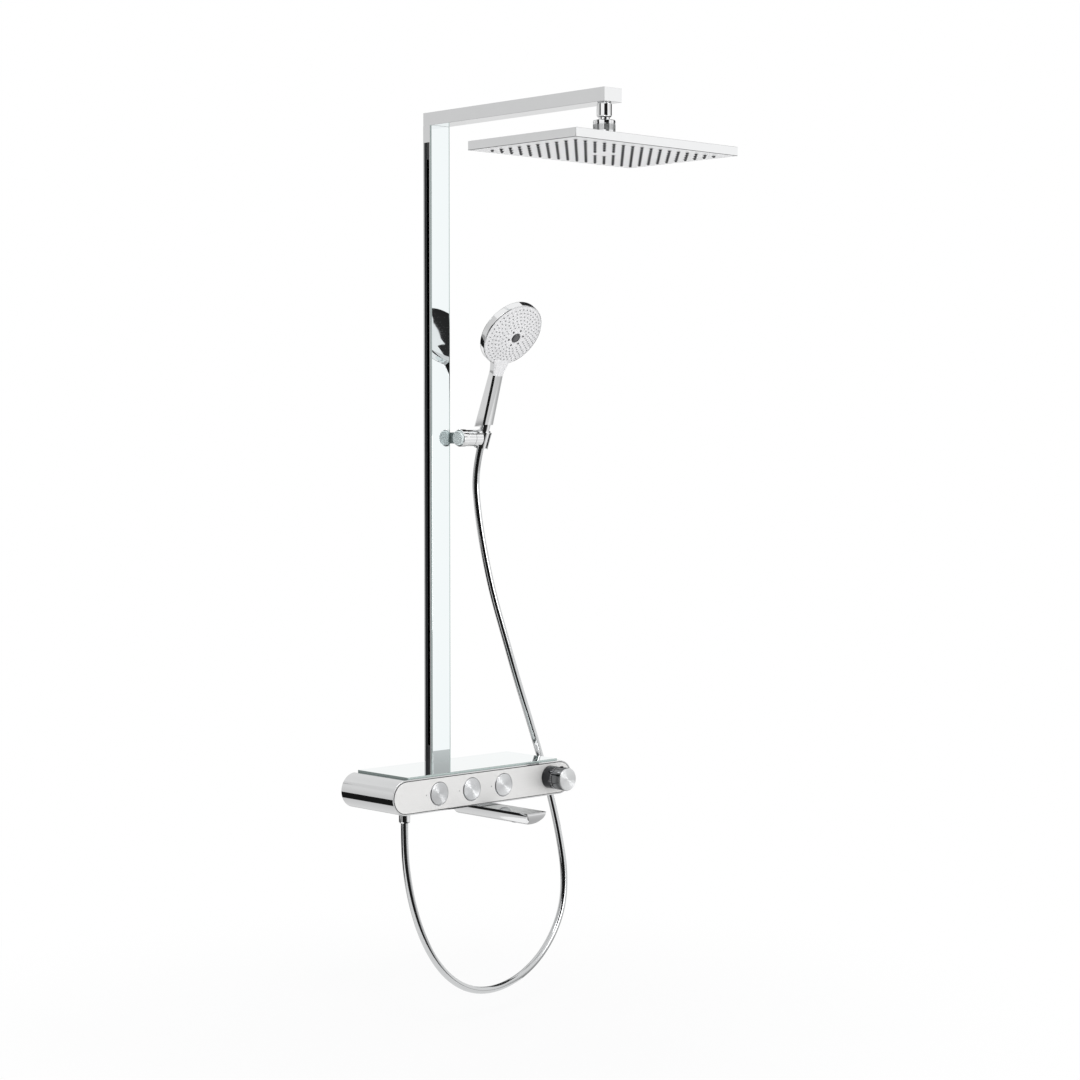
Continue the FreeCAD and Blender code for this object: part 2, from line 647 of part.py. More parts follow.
def knob():
    """The thermostat with its scale barrel, turning grip, end disc and safety stop."""
    at = ("knob_x", "0", "knob_z")
    mouth = "block_front + thermo_proud"
    node(
        "thermostat_cartridge",
        turned(
            "thermo",
            [
                ("0", "block_front - thermo_depth"),
                ("thermo_r", "block_front - thermo_depth"),
                ("thermo_r", mouth),
                ("spindle_r + run_gap", mouth),
                ("spindle_r + run_gap", "block_front - thermo_depth / 2"),
                ("0", "block_front - thermo_depth / 2"),
            ],
            at,
            FORWARD,
        ),
    )
    barrel_end = PLATE_FRONT + " + knob_base_len"
    node(
        "knob_base",
        turned(
            "scale_barrel",
            [
                ("spindle_r + run_gap", mouth),
                ("knob_spigot_r", mouth),
                ("knob_spigot_r", PLATE_FRONT),
                ("knob_r - 0.3", PLATE_FRONT),
                ("knob_r - 0.3", barrel_end),
                ("spindle_r + run_gap", barrel_end),
            ],
            at,
            FORWARD,
        ),
    )
    node(
        "knob_spindle",
        rod("spindle", "spindle_r", GRIP_FRONT + " - block_front + thermo_depth / 2 - 1",
            ("knob_x", "-block_front + thermo_depth / 2 - 1", "knob_z"), FORWARD),
    )
    grip = turned(
        "grip_blank",
        [
            ("spindle_r + run_gap", GRIP_BACK),
            ("knob_r", GRIP_BACK),
            ("knob_r", GRIP_FRONT),
            ("spindle_r + run_gap", GRIP_FRONT),
        ],
        at,
        FORWARD,
    )
    stop_y = "-(" + GRIP_BACK + " + stop_at)"
    stop_foot = "knob_z + knob_r + stop_proud - stop_len"
    hole_at = ("knob_x", stop_y, stop_foot + " - stop_travel - 0.5")
    hole = rod("grip_stop_hole", "stop_r + run_gap", "stop_len + stop_travel + 1", hole_at)
    node("knob_grip", without("grip_cut", grip, hole))
    node("safety_button", rod("stop", "stop_r", "stop_len", ("knob_x", stop_y, stop_foot)))
    node(
        "knob_face",
        turned(
            "face_disc",
            [
                ("0", GRIP_FRONT),
                ("knob_r - 0.4", GRIP_FRONT),
                ("knob_r - 0.4", GRIP_FRONT + " + knob_cap_thick / 2"),
                ("knob_r - 1.2", GRIP_FRONT + " + knob_cap_thick"),
                ("0", GRIP_FRONT + " + knob_cap_thick"),
            ],
            at,
            FORWARD,
        ),
    )


def spout():
    """The bath spout: a half-round bar with an oblique nose, its inlet pipe and its aerator."""
    top = "-body_h / 2"
    bar = rod("spout_round", "spout_r", "spout_front - spout_back", ("spout_x", "-spout_back", top), FORWARD)

    def side_view(sketch):
        outline(
            sketch,
            [
                ("-spout_back", top),
                ("-spout_front", top),
                ("-spout_front", top + " - 2"),
                ("-spout_front + spout_cut * 0.13", top + " - spout_r * 0.45"),
                ("-spout_front + spout_cut * 0.4", top + " - spout_r * 0.78"),
                ("-spout_front + spout_cut * 0.7", top + " - spout_r * 0.94"),
                ("-spout_front + spout_cut", top + " - spout_r - 1"),
                ("-spout_back - 14", top + " - spout_r - 1"),
                ("-spout_back", top + " - 8"),
            ],
        )

    side = padded("spout_side", "YZ_Plane", side_view, "2 * spout_r + 2", "spout_x - spout_r - 1")
    blade = shared("spout_blade", bar, side)
    pipe = rod("spout_pipe", "spout_pipe_r", "(body_h - block_h) / 2 + 8", ("spout_x", "-spout_pipe_at", top))
    aerator_y = "-spout_front + aerator_back"
    foot = top + " - spout_r"
    seat = rod("spout_seat", "aerator_r + fit_gap", "aerator_h + 1", ("spout_x", aerator_y, foot + " - 1"))
    node("spout", without("spout_cut_out", joined("spout_solid", blade, pipe), seat))
    node(
        "spout_aerator",
        turned(
            "aerator",
            [
                ("0", "aerator_h - 4"),
                ("0", "2.5"),
                ("aerator_r - 2", "2.5"),
                ("aerator_r - 2", "1.5"),
                ("aerator_r", "1.5"),
                ("aerator_r", "aerator_h"),
                ("aerator_r - 2", "aerator_h"),
                ("aerator_r - 2", "aerator_h - 4"),
            ],
            ("spout_x", aerator_y, foot),
        ),
    )


def hose_outlet():
    """The nipple under the housing and the hose nut screwed on it."""
    at = ("outlet_x", "-outlet_y", "0")
    foot = "-body_h / 2 - outlet_len"
    node(
        "hose_outlet",
        turned(
            "nipple",
            [
                ("4", foot),
                ("outlet_r", foot),
                ("outlet_r", "-block_h / 2 + 8"),
                ("4", "-block_h / 2 + 8"),
            ],
            at,
        ),
    )
    node(
        "hose_nut_lower",
        turned(
            "outlet_nut",
            [
                ("0", "-body_h / 2 - outlet_nut_len"),
                ("outlet_nut_r - 1", "-body_h / 2 - outlet_nut_len"),
                ("outlet_nut_r", "-body_h / 2 - outlet_nut_len + 2.5"),
                ("outlet_nut_r", "-body_h / 2 - trim_gap"),
                ("outlet_r + fit_gap", "-body_h / 2 - trim_gap"),
                ("outlet_r + fit_gap", foot),
                ("0", foot),
            ],
            at,
        ),
    )


def column():
    """The extruded column with its side slots, its glass, end pieces, wall bracket and riser."""
    half = "col_w / 2"
    face = "-(col_front - glass_thick)"
    inner = half + " - slot_deep"
    lip = half + " - slot_lip"

    def section(sketch):
        right = [
            ("groove_w / 2", "-col_back - groove_deep"),
            ("groove_w / 2", "-col_back"),
            (half, "-col_back"),
            (half, "-slot_back"),
            (lip, "-slot_back"),
            (lip, "-slot_pocket"),
            (inner, "-slot_pocket"),
            (inner, "-slot_front"),
            (half, "-slot_front"),
            (half, face),
        ]
        left = [("-(" + x + ")", y) for x, y in reversed(right)]
        outline(sketch, right + left)
        outline(
            sketch,
            [
                ("-duct_w / 2", "-duct_back"),
                ("duct_w / 2", "-duct_back"),
                ("duct_w / 2", "-slot_front"),
                ("-duct_w / 2", "-slot_front"),
            ],
        )

    node("column_profile", padded("profile", "XY_Plane", section, "col_top - (" + SHELF_TOP + ")", SHELF_TOP))
    node(
        "column_glass",
        box(
            "glass",
            ("col_w", "glass_thick", "arm_z - (" + SHELF_TOP + ")"),
            ("-col_w / 2", "-col_front", SHELF_TOP),
        ),
    )
    block = box(
        "cap_block",
        ("col_w", "col_front - glass_thick - col_back", "arm_z - col_top"),
        ("-col_w / 2", face, "col_top"),
    )
    hole = rod("cap_hole", "riser_r + 1", "arm_z - col_top + 2", ("0", "-riser_y", "col_top - 1"))
    node("column_cap", without("cap_cut", block, hole))

    stops = []
    for side, x in (("right", inner + " + shoe_gap"), ("left", "-(" + half + " - 0.5)")):
        for end, z in (("low", SHELF_TOP), ("high", "col_top - stop_block_h")):
            stops.append(
                box(
                    "stop_%s_%s" % (side, end),
                    ("slot_deep - shoe_gap - 0.5", "slot_front - slot_back - 2 * shoe_gap", "stop_block_h"),
                    (x, "-slot_front + shoe_gap", z),
                )
            )
    node("slot_end_blocks", group("slot_stops", *stops))

    node(
        "riser_pipe",
        turned(
            "riser",
            [
                ("pipe_bore_r", "0"),
                ("riser_r", "0"),
                ("riser_r", "arm_z + arm_wall"),
                ("pipe_bore_r", "arm_z + arm_wall"),
            ],
            ("0", "-riser_y", "0"),
        ),
    )
    plate = box(
        "bracket_plate",
        ("groove_w - 2 * bracket_gap", "col_back + groove_deep - bracket_gap", "bracket_h"),
        ("-groove_w / 2 + bracket_gap", "-col_back - groove_deep + bracket_gap", "bracket_z - bracket_h / 2"),
    )
    holes = []
    for side, sign in SIDES:
        at = (sign + "screw_pitch / 2", "1", "bracket_z")
        holes.append(rod("bracket_hole_" + side, "screw_r", "col_back + groove_deep + 2", at, FORWARD))
    node("wall_bracket", without("bracket_cut", plate, *holes))


def arm():
    """The square arm with the pipe and the two fittings inside it."""
    skin = box("arm_skin", ("arm_w", "arm_front - arm_back", "arm_h"), ("-arm_w / 2", "-arm_front", "arm_z"))
    room = box(
        "arm_room",
        ("arm_w - 2 * arm_wall", "arm_front - arm_back - 2 * arm_wall", "arm_h - 2 * arm_wall"),
        ("-arm_w / 2 + arm_wall", "-arm_front + arm_wall", "arm_z + arm_wall"),
    )
    back_hole = rod("arm_riser_hole", "riser_r + 1", "arm_wall + 2", ("0", "-riser_y", "arm_z - 1"))
    front_hole = rod("arm_outlet_hole", "throat_r + 0.4", "arm_wall + 2", ("0", "-joint_y", "arm_z - 1"))
    node("arm_shell", without("arm_cut", skin, room, back_hole, front_hole))

    room_h = "arm_h - 2 * arm_wall"
    pipe_z = "arm_z + arm_wall + (" + room_h + ") / 2"
    for name, y in (("arm_elbow", "riser_y"), ("arm_outlet", "joint_y")):
        reach = "elbow_half" if name == "arm_outlet" else "riser_y - arm_back - arm_wall - trim_gap"
        back = "-(" + y + ") + " + reach
        block = box(
            name + "_block",
            ("2 * elbow_half", "elbow_half + " + reach, room_h),
            ("-elbow_half", "-(" + y + ") - elbow_half", "arm_z + arm_wall"),
        )
        mouth = ("0", "-(" + y + ") - elbow_half + 5", pipe_z)
        along = rod(name + "_along", "riser_r + fit_gap", "6", mouth, FORWARD)
        if name == "arm_outlet":
            along = rod(name + "_along", "riser_r + fit_gap", "6", ("0", back + " + 1", pipe_z), FORWARD)
            spigot = rod(name + "_spigot", "throat_r", "arm_wall + 10", ("0", "-joint_y", "arm_z - 10"))
            block = joined(name + "_solid", block, spigot)
        drop = "arm_wall + 10 + (" + room_h + ") / 2"
        down = rod(name + "_down", "pipe_bore_r", drop, ("0", "-(" + y + ")", "arm_z - 10"))
        node(name, without(name + "_cut", block, along, down))
    node(
        "arm_pipe",
        turned(
            "arm_tube",
            [
                ("pipe_bore_r", "riser_y + elbow_half - 5"),
                ("riser_r", "riser_y + elbow_half - 5"),
                ("riser_r", "joint_y - elbow_half + 5"),
                ("pipe_bore_r", "joint_y - elbow_half + 5"),
            ],
            ("0", "0", pipe_z),
            FORWARD,
        ),
    )


def ball_joint():
    """The ball stud under the arm, its seat, the union collar and the overhead shower's socket."""
    at = ("0", "-joint_y", BALL_Z)
    stud = turned(
        "stud_body",
        [
            ("0", "0"),
            ("throat_r", "0"),
            ("throat_r", "collar_rise - 4"),
            ("neck_r", "collar_rise - 1"),
            ("neck_r", "ball_drop - barrel_h"),
            ("barrel_r - barrel_bevel", "ball_drop - barrel_h"),
            ("barrel_r", "ball_drop - barrel_h + barrel_bevel"),
            ("barrel_r", "ball_drop - barrel_bevel"),
            ("barrel_r - barrel_bevel", "ball_drop"),
            ("0", "ball_drop"),
        ],
        at,
    )
    knuckle = ball("stud_ball", "ball_r", at)
    thread = rod("stud_thread", "throat_r + fit_gap", "11", ("0", "-joint_y", "arm_z - 10 - fit_gap"))
    bore_at = ("0", "-joint_y", BALL_Z + " - ball_r - 1")
    bore = rod("stud_bore", "ball_bore_r", "ball_drop + 2 * ball_r", bore_at)
    node("ball_stud", without("stud_cut", joined("stud_solid", stud, knuckle), thread, bore))

    outer = ball("seat_outer", "ball_r + run_gap + seat_thick", at, "seat_low", "seat_high")
    hollow = ball("seat_hollow", "ball_r + run_gap", at)
    node("ball_seat", without("seat_cut", outer, hollow))

    room = "ball_r + ball_room"
    node(
        "union_collar",
        turned(
            "collar",
            [
                ("socket_r + fit_gap", "-collar_drop"),
                ("collar_r", "-collar_drop"),
                ("collar_r", "collar_rise - 1"),
                ("collar_r - 1", "collar_rise"),
                ("collar_mouth_r", "collar_rise"),
                ("collar_lip_r", "collar_lip_z"),
                (room, "2"),
                (room, "socket_top + trim_gap"),
                ("socket_r + fit_gap", "socket_top + trim_gap"),
            ],
            at,
        ),
    )
    post = turned(
        "socket_post",
        [
            ("0", "-head_drop"),
            ("socket_foot_r", "-head_drop"),
            ("socket_foot_r", "-head_drop + socket_foot_h"),
            ("socket_r", "-head_drop + socket_foot_h + 2"),
            ("socket_r", "socket_top"),
            ("0", "socket_top"),
        ],
        at,
    )
    cup = ball("socket_cup", "ball_r + 2 * run_gap + seat_thick", at)
    way = rod("socket_way", "ball_bore_r", "head_drop + 1", ("0", "-joint_y", HEAD_TOP + " - 1"))
    node("head_socket", without("socket_cut", post, cup, way))


def overhead_shower():
    """The flat rectangular overhead shower: shell, spray plate and rubber nozzles."""
    bottom = HEAD_TOP + " - head_h"
    skin = box("head_skin", ("head_w", "head_d", "head_h"), ("-head_w / 2", "-joint_y - head_d / 2", bottom))
    room = box(
        "head_room",
        ("head_w - 2 * head_wall", "head_d - 2 * head_wall", "head_h - head_wall + 1"),
        ("-head_w / 2 + head_wall", "-joint_y - head_d / 2 + head_wall", bottom + " - 1"),
    )
    hole = rod("head_hole", "ball_bore_r", "head_wall + 2", ("0", "-joint_y", HEAD_TOP + " - head_wall - 1"))
    node("head_shell", without("head_cut", skin, room, hole))

    edge = "head_wall + trim_gap"
    sheet_plate = box(
        "spray_sheet",
        ("head_w - 2 * (" + edge + ")", "head_d - 2 * (" + edge + ")", "spray_thick"),
        ("-head_w / 2 + " + edge, "-joint_y - head_d / 2 + " + edge, bottom),
    )
    rib = box(
        "spray_rib",
        ("head_w - 8 * (" + edge + ")", "6", "head_h - head_wall - spray_thick"),
        ("-head_w / 2 + 4 * (" + edge + ")", "-joint_y - head_d / 4", bottom + " + spray_thick"),
    )
    twin = box(
        "spray_rib_front",
        ("head_w - 8 * (" + edge + ")", "6", "head_h - head_wall - spray_thick"),
        ("-head_w / 2 + 4 * (" + edge + ")", "-joint_y + head_d / 4 - 6", bottom + " + spray_thick"),
    )
    node("spray_plate", joined("spray_solid", sheet_plate, rib, twin))

    base_z, pitch = val(bottom), val("nozzle_pitch")
    tips = []
    for i in range(NOZZLE_COLUMNS):
        for j in range(NOZZLE_ROWS):
            across = i - (NOZZLE_COLUMNS - 1) / 2
            along = j - (NOZZLE_ROWS - 1) / 2
            if abs(across) < 1 and abs(along) < 1:
                continue
            root = Vector(across * pitch, along * pitch - val("joint_y"), base_z)
            tip = root - Vector(0, 0, val("nozzle_len"))
            ends = [hexagon(root, val("nozzle_r")), hexagon(tip, val("nozzle_tip_r"))]
            tips.append(Part.makeLoft(ends, True, True))
    nozzles = doc.addObject("Part::Feature", "nozzles")
    nozzles.Shape = Part.makeCompound(tips)
    node("head_nozzles", nozzles)


def slide():
    """The slide in the column's right slot with its barrel, button, spring and holder pin."""
    axis_at = "-slide_y"
    shoe_x = "col_w / 2 - slot_deep + shoe_gap"
    shoe = box(
        "shoe_block",
        ("slot_deep - slot_lip - 2 * shoe_gap", "slot_front - slot_pocket - 2 * shoe_gap", "shoe_h"),
        (shoe_x, "-slot_front + shoe_gap", "slide_z - shoe_h / 2"),
    )
    tongue = box(
        "shoe_tongue",
        ("slide_x + bridge_w + 2 - (" + shoe_x + ")", "slot_front - slot_back - 2 * shoe_gap", "bridge_h"),
        (shoe_x, "-slot_front + shoe_gap", "slide_z - bridge_h / 2"),
    )
    bridge = box(
        "shoe_bridge",
        ("bridge_w", "slide_y - slot_back - shoe_gap", "bridge_h"),
        ("slide_x + 2", axis_at, "slide_z - bridge_h / 2"),
    )
    at = ("slide_x", axis_at, "slide_z")
    room = rod("shoe_room", "slide_rim_r + fit_gap", "slide_end - slide_x", at, RIGHTWARD)
    node("slide_carriage", without("carriage_cut", joined("carriage_solid", shoe, tongue, bridge), room))
    rim_end = "press_proud + slide_rim_len"
    bore_end = "press_len + press_room"
    node(
        "slide_barrel",
        turned(
            "barrel",
            [
                ("press_r + press_gap", "press_proud"),
                ("slide_rim_r - 0.8", "press_proud"),
                ("slide_rim_r", "press_proud + 1.2"),
                ("slide_rim_r", rim_end),
                ("slide_r", rim_end),
                ("slide_r", "slide_end - slide_x"),
                ("pin_r + fit_gap", "slide_end - slide_x"),
                ("pin_r + fit_gap", bore_end),
                ("press_r + press_gap", bore_end),
            ],
            at,
            RIGHTWARD,
        ),
    )
    node(
        "slide_button",
        turned(
            "press",
            [
                ("0", "0"),
                ("press_r - 1.5", "0"),
                ("press_r", "1.5"),
                ("press_r", "press_len"),
                ("0", "press_len"),
            ],
            at,
            RIGHTWARD,
        ),
    )
    node(
        "slide_spring",
        turned(
            "press_spring",
            [
                ("press_r - 5", "press_len"),
                ("press_r - 3.5", "press_len"),
                ("press_r - 3.5", bore_end),
                ("press_r - 5", bore_end),
            ],
            at,
            RIGHTWARD,
        ),
    )
    pin_at = ("pin_start", axis_at, "slide_z")
    node("holder_pin", rod("pin", "pin_r", "pin_end - pin_start", pin_at, RIGHTWARD))


LEAN = Rotation(Vector(1, 0, 0), val("lean"))
FACE = Rotation(Vector(1, 0, 0), 90 + val("lean") + val("face_tilt"))


def leaning(up, out="0", across="0"):
    """A point measured from the holder's axis along the leaning handle, as three expressions."""
    return (
        "holder_x + (" + across + ")",
        "-slide_y - (" + out + ") * cos(lean) - (" + up + ") * sin(lean)",
        "slide_z - (" + out + ") * sin(lean) + (" + up + ") * cos(lean)",
    )


FACE_CENTRE = leaning("face_up", "face_out")


def facing(ahead):
    """A point on the spray face's axis, a distance ahead of its rim, as three expressions."""
    x, y, z = FACE_CENTRE
    step = " - (" + ahead + ") * "
    return (x, y + step + "cos(lean + face_tilt)", z + step + "sin(lean + face_tilt)")


def holder():
    """The tilting holder: a sleeve on the pin and an open conical cup for the hand shower."""
    sleeve = rod(
        "holder_sleeve",
        "slide_r",
        "holder_x - 0.7 * cup_top_r - slide_end - holder_seam",
        ("slide_end + holder_seam", "-slide_y", "slide_z"),
        RIGHTWARD,
    )
    cup = taper("holder_cup", "cup_foot_r", "cup_top_r", "cup_h", leaning("-cup_sink"), LEAN)
    bore = taper("holder_bore", "cup_bore_foot_r", "cup_bore_top_r", "cup_h", leaning("-cup_sink"), LEAN)
    mouth = rod("holder_mouth", "cup_bore_top_r", "slide_r", leaning("cup_h - cup_sink"), LEAN)
    slot = box(
        "holder_slot",
        ("cup_slot", "2 * cup_top_r", "2 * cup_h"),
        leaning("-cup_h", "2 * cup_top_r", "-cup_slot / 2"),
        LEAN,
    )
    pin_hole = rod(
        "holder_pin_hole",
        "pin_r + run_gap",
        "pin_end - slide_end + 0.5",
        ("slide_end", "-slide_y", "slide_z"),
        RIGHTWARD,
    )
    node("holder", without("holder_cut", joined("holder_solid", sleeve, cup), bore, mouth, slot, pin_hole))


def rounded_ring(height, half, front, back, corner):
    """A level round-cornered ring round the handle's axis."""
    places = ((half, -front), (half, back), (-half, back), (-half, -front), (half, -front))
    square = Part.Face(Part.makePolygon([Vector(x, y, height) for x, y in places]))
    return square.makeOffset2D(-corner).OuterWire.makeOffset2D(corner)


def hand_shower():
    """The hand shower: conical hose nut, handle, pale neck, spray head, face, centre cap and nozzles."""
    slope = "(cup_bore_top_r - cup_bore_foot_r) / cup_h"
    foot_r = "cup_bore_foot_r - cup_gap"
    node(
        "hose_nut_upper",
        turned(
            "cone_nut",
            [
                ("0", "-nut_sink"),
                (foot_r + " + (cup_sink - nut_sink) * " + slope, "-nut_sink"),
                (foot_r + " + (cup_sink + nut_rise) * " + slope, "nut_rise"),
                ("nut_neck_r", "nut_rise"),
                ("nut_neck_r", "nut_neck_top"),
                ("0", "nut_neck_top"),
            ],
            PIVOT,
            LEAN,
        ),
    )

    crown_r = "(face_r ^ 2 + face_crown ^ 2) / (2 * face_crown)"
    crown = ball("crown_ball", crown_r, facing("face_crown - " + crown_r))
    hull_rear = turned(
        "hull_rear",
        [
            ("0", "0"),
            ("rim_r", "0"),
            ("rim_r", "-rim_thick"),
            ("dome_r", "-dome_deep + 3"),
            ("0", "-dome_deep"),
        ],
        FACE_CENTRE,
        FACE,
    )
    hull_front = shared("hull_front", rod("hull_barrel", "rim_r", "face_crown + 1", FACE_CENTRE, FACE), crown)

    top = val("handle_top")
    grip = (val("grip_half"), val("grip_front"), val("grip_back"), val("grip_corner"))
    neck = (val("neck_half"), val("neck_front"), val("neck_back"), val("grip_corner"))
    rings = [rounded_ring(0, *grip), rounded_ring(val("neck_low"), *neck)]
    for share in (0.25, 0.5, 0.75, 1):
        height = val("neck_low") + share * (top - val("neck_low"))
        half = val("neck_half") + (val("flare_half") - val("neck_half")) * share ** 1.6
        rings.append(rounded_ring(height, half, neck[1], neck[2] * (1 - 0.4 * share), neck[3]))
    loft = doc.addObject("Part::Feature", "handle_loft")
    loft.Shape = Part.makeLoft(rings, True, True)
    place(loft, PIVOT, LEAN)
    wide = "4 * flare_half"
    front = box(
        "neck_room",
        (wide, wide, "handle_top"),
        leaning("neck_low", "neck_split + " + wide, "-2 * flare_half"),
        LEAN,
    )
    node("hs_neck", without("neck_cut", shared("neck_half_solid", loft, front), hull_front, hull_rear))
    below = box(
        "handle_below",
        (wide, wide, wide),
        leaning(
            "foot_up - " + wide + " * cos(foot_tilt) + 2 * flare_half * sin(foot_tilt)",
            "2 * flare_half * cos(foot_tilt) + " + wide + " * sin(foot_tilt)",
            "-2 * flare_half",
        ),
        LEAN.multiply(Rotation(Vector(1, 0, 0), -val("foot_tilt"))),
    )
    bore = rod("handle_bore", "nut_neck_r + fit_gap", "nut_neck_top", PIVOT, LEAN)
    node("hs_handle", without("handle_cut", loft, hull_front, hull_rear, front, below, bore))

    node(
        "hs_shell",
        turned(
            "spray_shell",
            [
                ("0", "-face_seat"),
                ("face_r + trim_gap", "-face_seat"),
                ("face_r + trim_gap", "0"),
                ("rim_r - 0.5", "0"),
                ("rim_r", "-0.5"),
                ("rim_r", "-rim_thick"),
                ("dome_r", "-dome_deep + 3"),
                ("0", "-dome_deep"),
            ],
            FACE_CENTRE,
            FACE,
        ),
    )
    disc = rod("face_disc_blank", "face_r", "face_seat + face_crown + 1", facing("-face_seat"), FACE)
    core_at = facing("-face_seat - 1")
    core_room = rod("face_core_room", "core_r + trim_gap", "face_seat + face_crown + 2", core_at, FACE)
    node("hs_face", without("face_cut", shared("face_dome", disc, crown), core_room))
    node(
        "hs_centre",
        turned(
            "core",
            [
                ("0", "-face_seat"),
                ("core_r", "-face_seat"),
                ("core_r", "face_crown - 0.3"),
                ("core_r - 1.5", "face_crown + 0.5"),
                ("0", "face_crown + 0.5"),
            ],
            FACE_CENTRE,
            FACE,
        ),
    )

    doc.recompute()
    neck_solid = NODES["hs_neck"].Shape
    on_face = Placement(Vector(*map(val, FACE_CENTRE)), FACE)
    bulge = val(crown_r)
    jets = []
    for ring, count in enumerate(JET_COUNTS):
        radius = val("jet_first_r") + ring * val("jet_step")
        level = val("face_crown") - bulge + math.sqrt(bulge ** 2 - (radius - val("jet_r")) ** 2)
        for k in range(count):
            angle = 360 * (k + 0.5 * (ring % 2)) / count
            jet = Part.makeBox(2 * val("jet_r"), 2 * val("jet_r"), val("jet_len"))
            jet.translate(Vector(radius - val("jet_r"), -val("jet_r"), level))
            jet.rotate(Vector(0, 0, 0), Vector(0, 0, 1), angle)
            jet.Placement = on_face.multiply(jet.Placement)
            if jet.distToShape(neck_solid)[0] > val("jet_clear"):
                jets.append(jet)
    spray = doc.addObject("Part::Feature", "jets")
    spray.Shape = Part.makeCompound(jets)
    node("hs_nozzles", spray)


# The hose's route: first along the hand shower's axis, past the housing's right end, round the loop below
# and straight up into the outlet nut.
HOSE_POINTS = [
    (91, -21, 480),
    (103, -24, 410),
    (121, -29, 330),
    (146, -34, 252),
    (173, -39, 168),
    (202, -43, 88),
    (229, -46, 12),
    (248, -53, -62),
    (259, -62, -130),
    (262, -72, -194),
    (250, -80, -252),
    (219, -86, -302),
    (175, -91, -341),
    (122, -94.5, -367),
    (62, -97, -378),
    (4, -99.5, -370),
    (-47, -102, -343),
    (-88, -104, -302),
    (-120, -106, -250),
    (-143, -108, -192),
    (-157, -109.5, -134),
]
UPPER_RUN_COUNT = 8


def hose_path(points):
    """Straight runs joined by the largest tangent arcs their lengths allow, with each arc's radius."""
    edges, radii, start = [], [], points[0]
    for i in range(1, len(points) - 1):
        back = points[i - 1] - points[i]
        ahead = points[i + 1] - points[i]
        cut = 0.45 * min(back.Length, ahead.Length)
        back.normalize()
        ahead.normalize()
        half_turn = (math.pi - back.getAngle(ahead)) / 2
        radius = cut / math.tan(half_turn)
        radii.append(radius)
        enter = points[i] + back * cut
        leave = points[i] + ahead * cut
        inward = back + ahead
        inward.normalize()
        middle = points[i] + inward * (radius / math.cos(half_turn) - radius)
        edges.append(Part.LineSegment(start, enter).toShape())
        edges.append(Part.Arc(enter, middle, leave).toShape())
        start = leave
    edges.append(Part.LineSegment(start, points[-1]).toShape())
    return edges, radii


def hose():
    """The hose in two stretches that meet behind the housing's right end."""
    first, second = (Vector(*map(val, leaning(up))) for up in ("-nut_sink", "-nut_sink - hose_lead"))
    outlet = Vector(val("outlet_x"), -val("outlet_y"), -val("body_h") / 2 - val("outlet_nut_len"))
    last = outlet - Vector(0, 0, val("hose_drop"))
    points = [first, second] + [Vector(*p) for p in HOSE_POINTS] + [last, outlet]
    edges, radii = hose_path(points)
    print("hose radii", " ".join("%.0f" % r for r in radii))
    middle = edges[2 * UPPER_RUN_COUNT]
    a, b = middle.Vertexes[0].Point, middle.Vertexes[1].Point
    centre = (a + b) / 2
    upper = edges[: 2 * UPPER_RUN_COUNT] + [Part.LineSegment(a, centre).toShape()]
    lower = [Part.LineSegment(centre, b).toShape()] + edges[2 * UPPER_RUN_COUNT + 1:]
    radius = val("hose_d") / 2
    total = 0
    for label, stretch in (("hose_upper", upper), ("hose_lower", lower)):
        path = Part.Wire(stretch)
        lead = stretch[0]
        ring = Part.Circle(lead.Vertexes[0].Point, lead.tangentAt(lead.FirstParameter), radius)
        tube = path.makePipeShell([Part.Wire([ring.toShape()])], True, False)
        piece = doc.addObject("Part::Feature", label + "_tube")
        piece.Shape = tube
        node(label, piece)
        total += path.Length
        share = tube.Volume / (math.pi * radius ** 2 * path.Length)
        print("%s length %.1f mm, volume over section times length %.4f" % (label, path.Length, share))
    print("hose length in all %.1f mm" % total)


def main():
    for build in (housing, water_block, buttons, knob, spout, hose_outlet, column, arm, ball_joint,
                  overhead_shower, slide, holder, hand_shower, hose):
        build()
    doc.recompute()
    for thing in doc.Objects:
        faults = [s for s in thing.State if s in ("Invalid", "Error")]
        if faults:
            raise RuntimeError("%s is %s" % (thing.Label, faults))
    os.makedirs("parts", exist_ok=True)
    for label, thing in NODES.items():
        shape = thing.Shape
        if shape.isNull() or not shape.isValid() or shape.Volume <= 0:
            raise RuntimeError("no good solid for " + label)
        shape.exportStep("parts/%s.step" % label)
    print("%d pieces written" % len(NODES))


main()
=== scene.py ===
"""Looks of a wall-hung shower system, modelled over its CAD solids."""

import json
import logging
import math
from contextlib import contextmanager
from dataclasses import dataclass
from enum import Enum
from typing import Callable, Iterator, Sequence

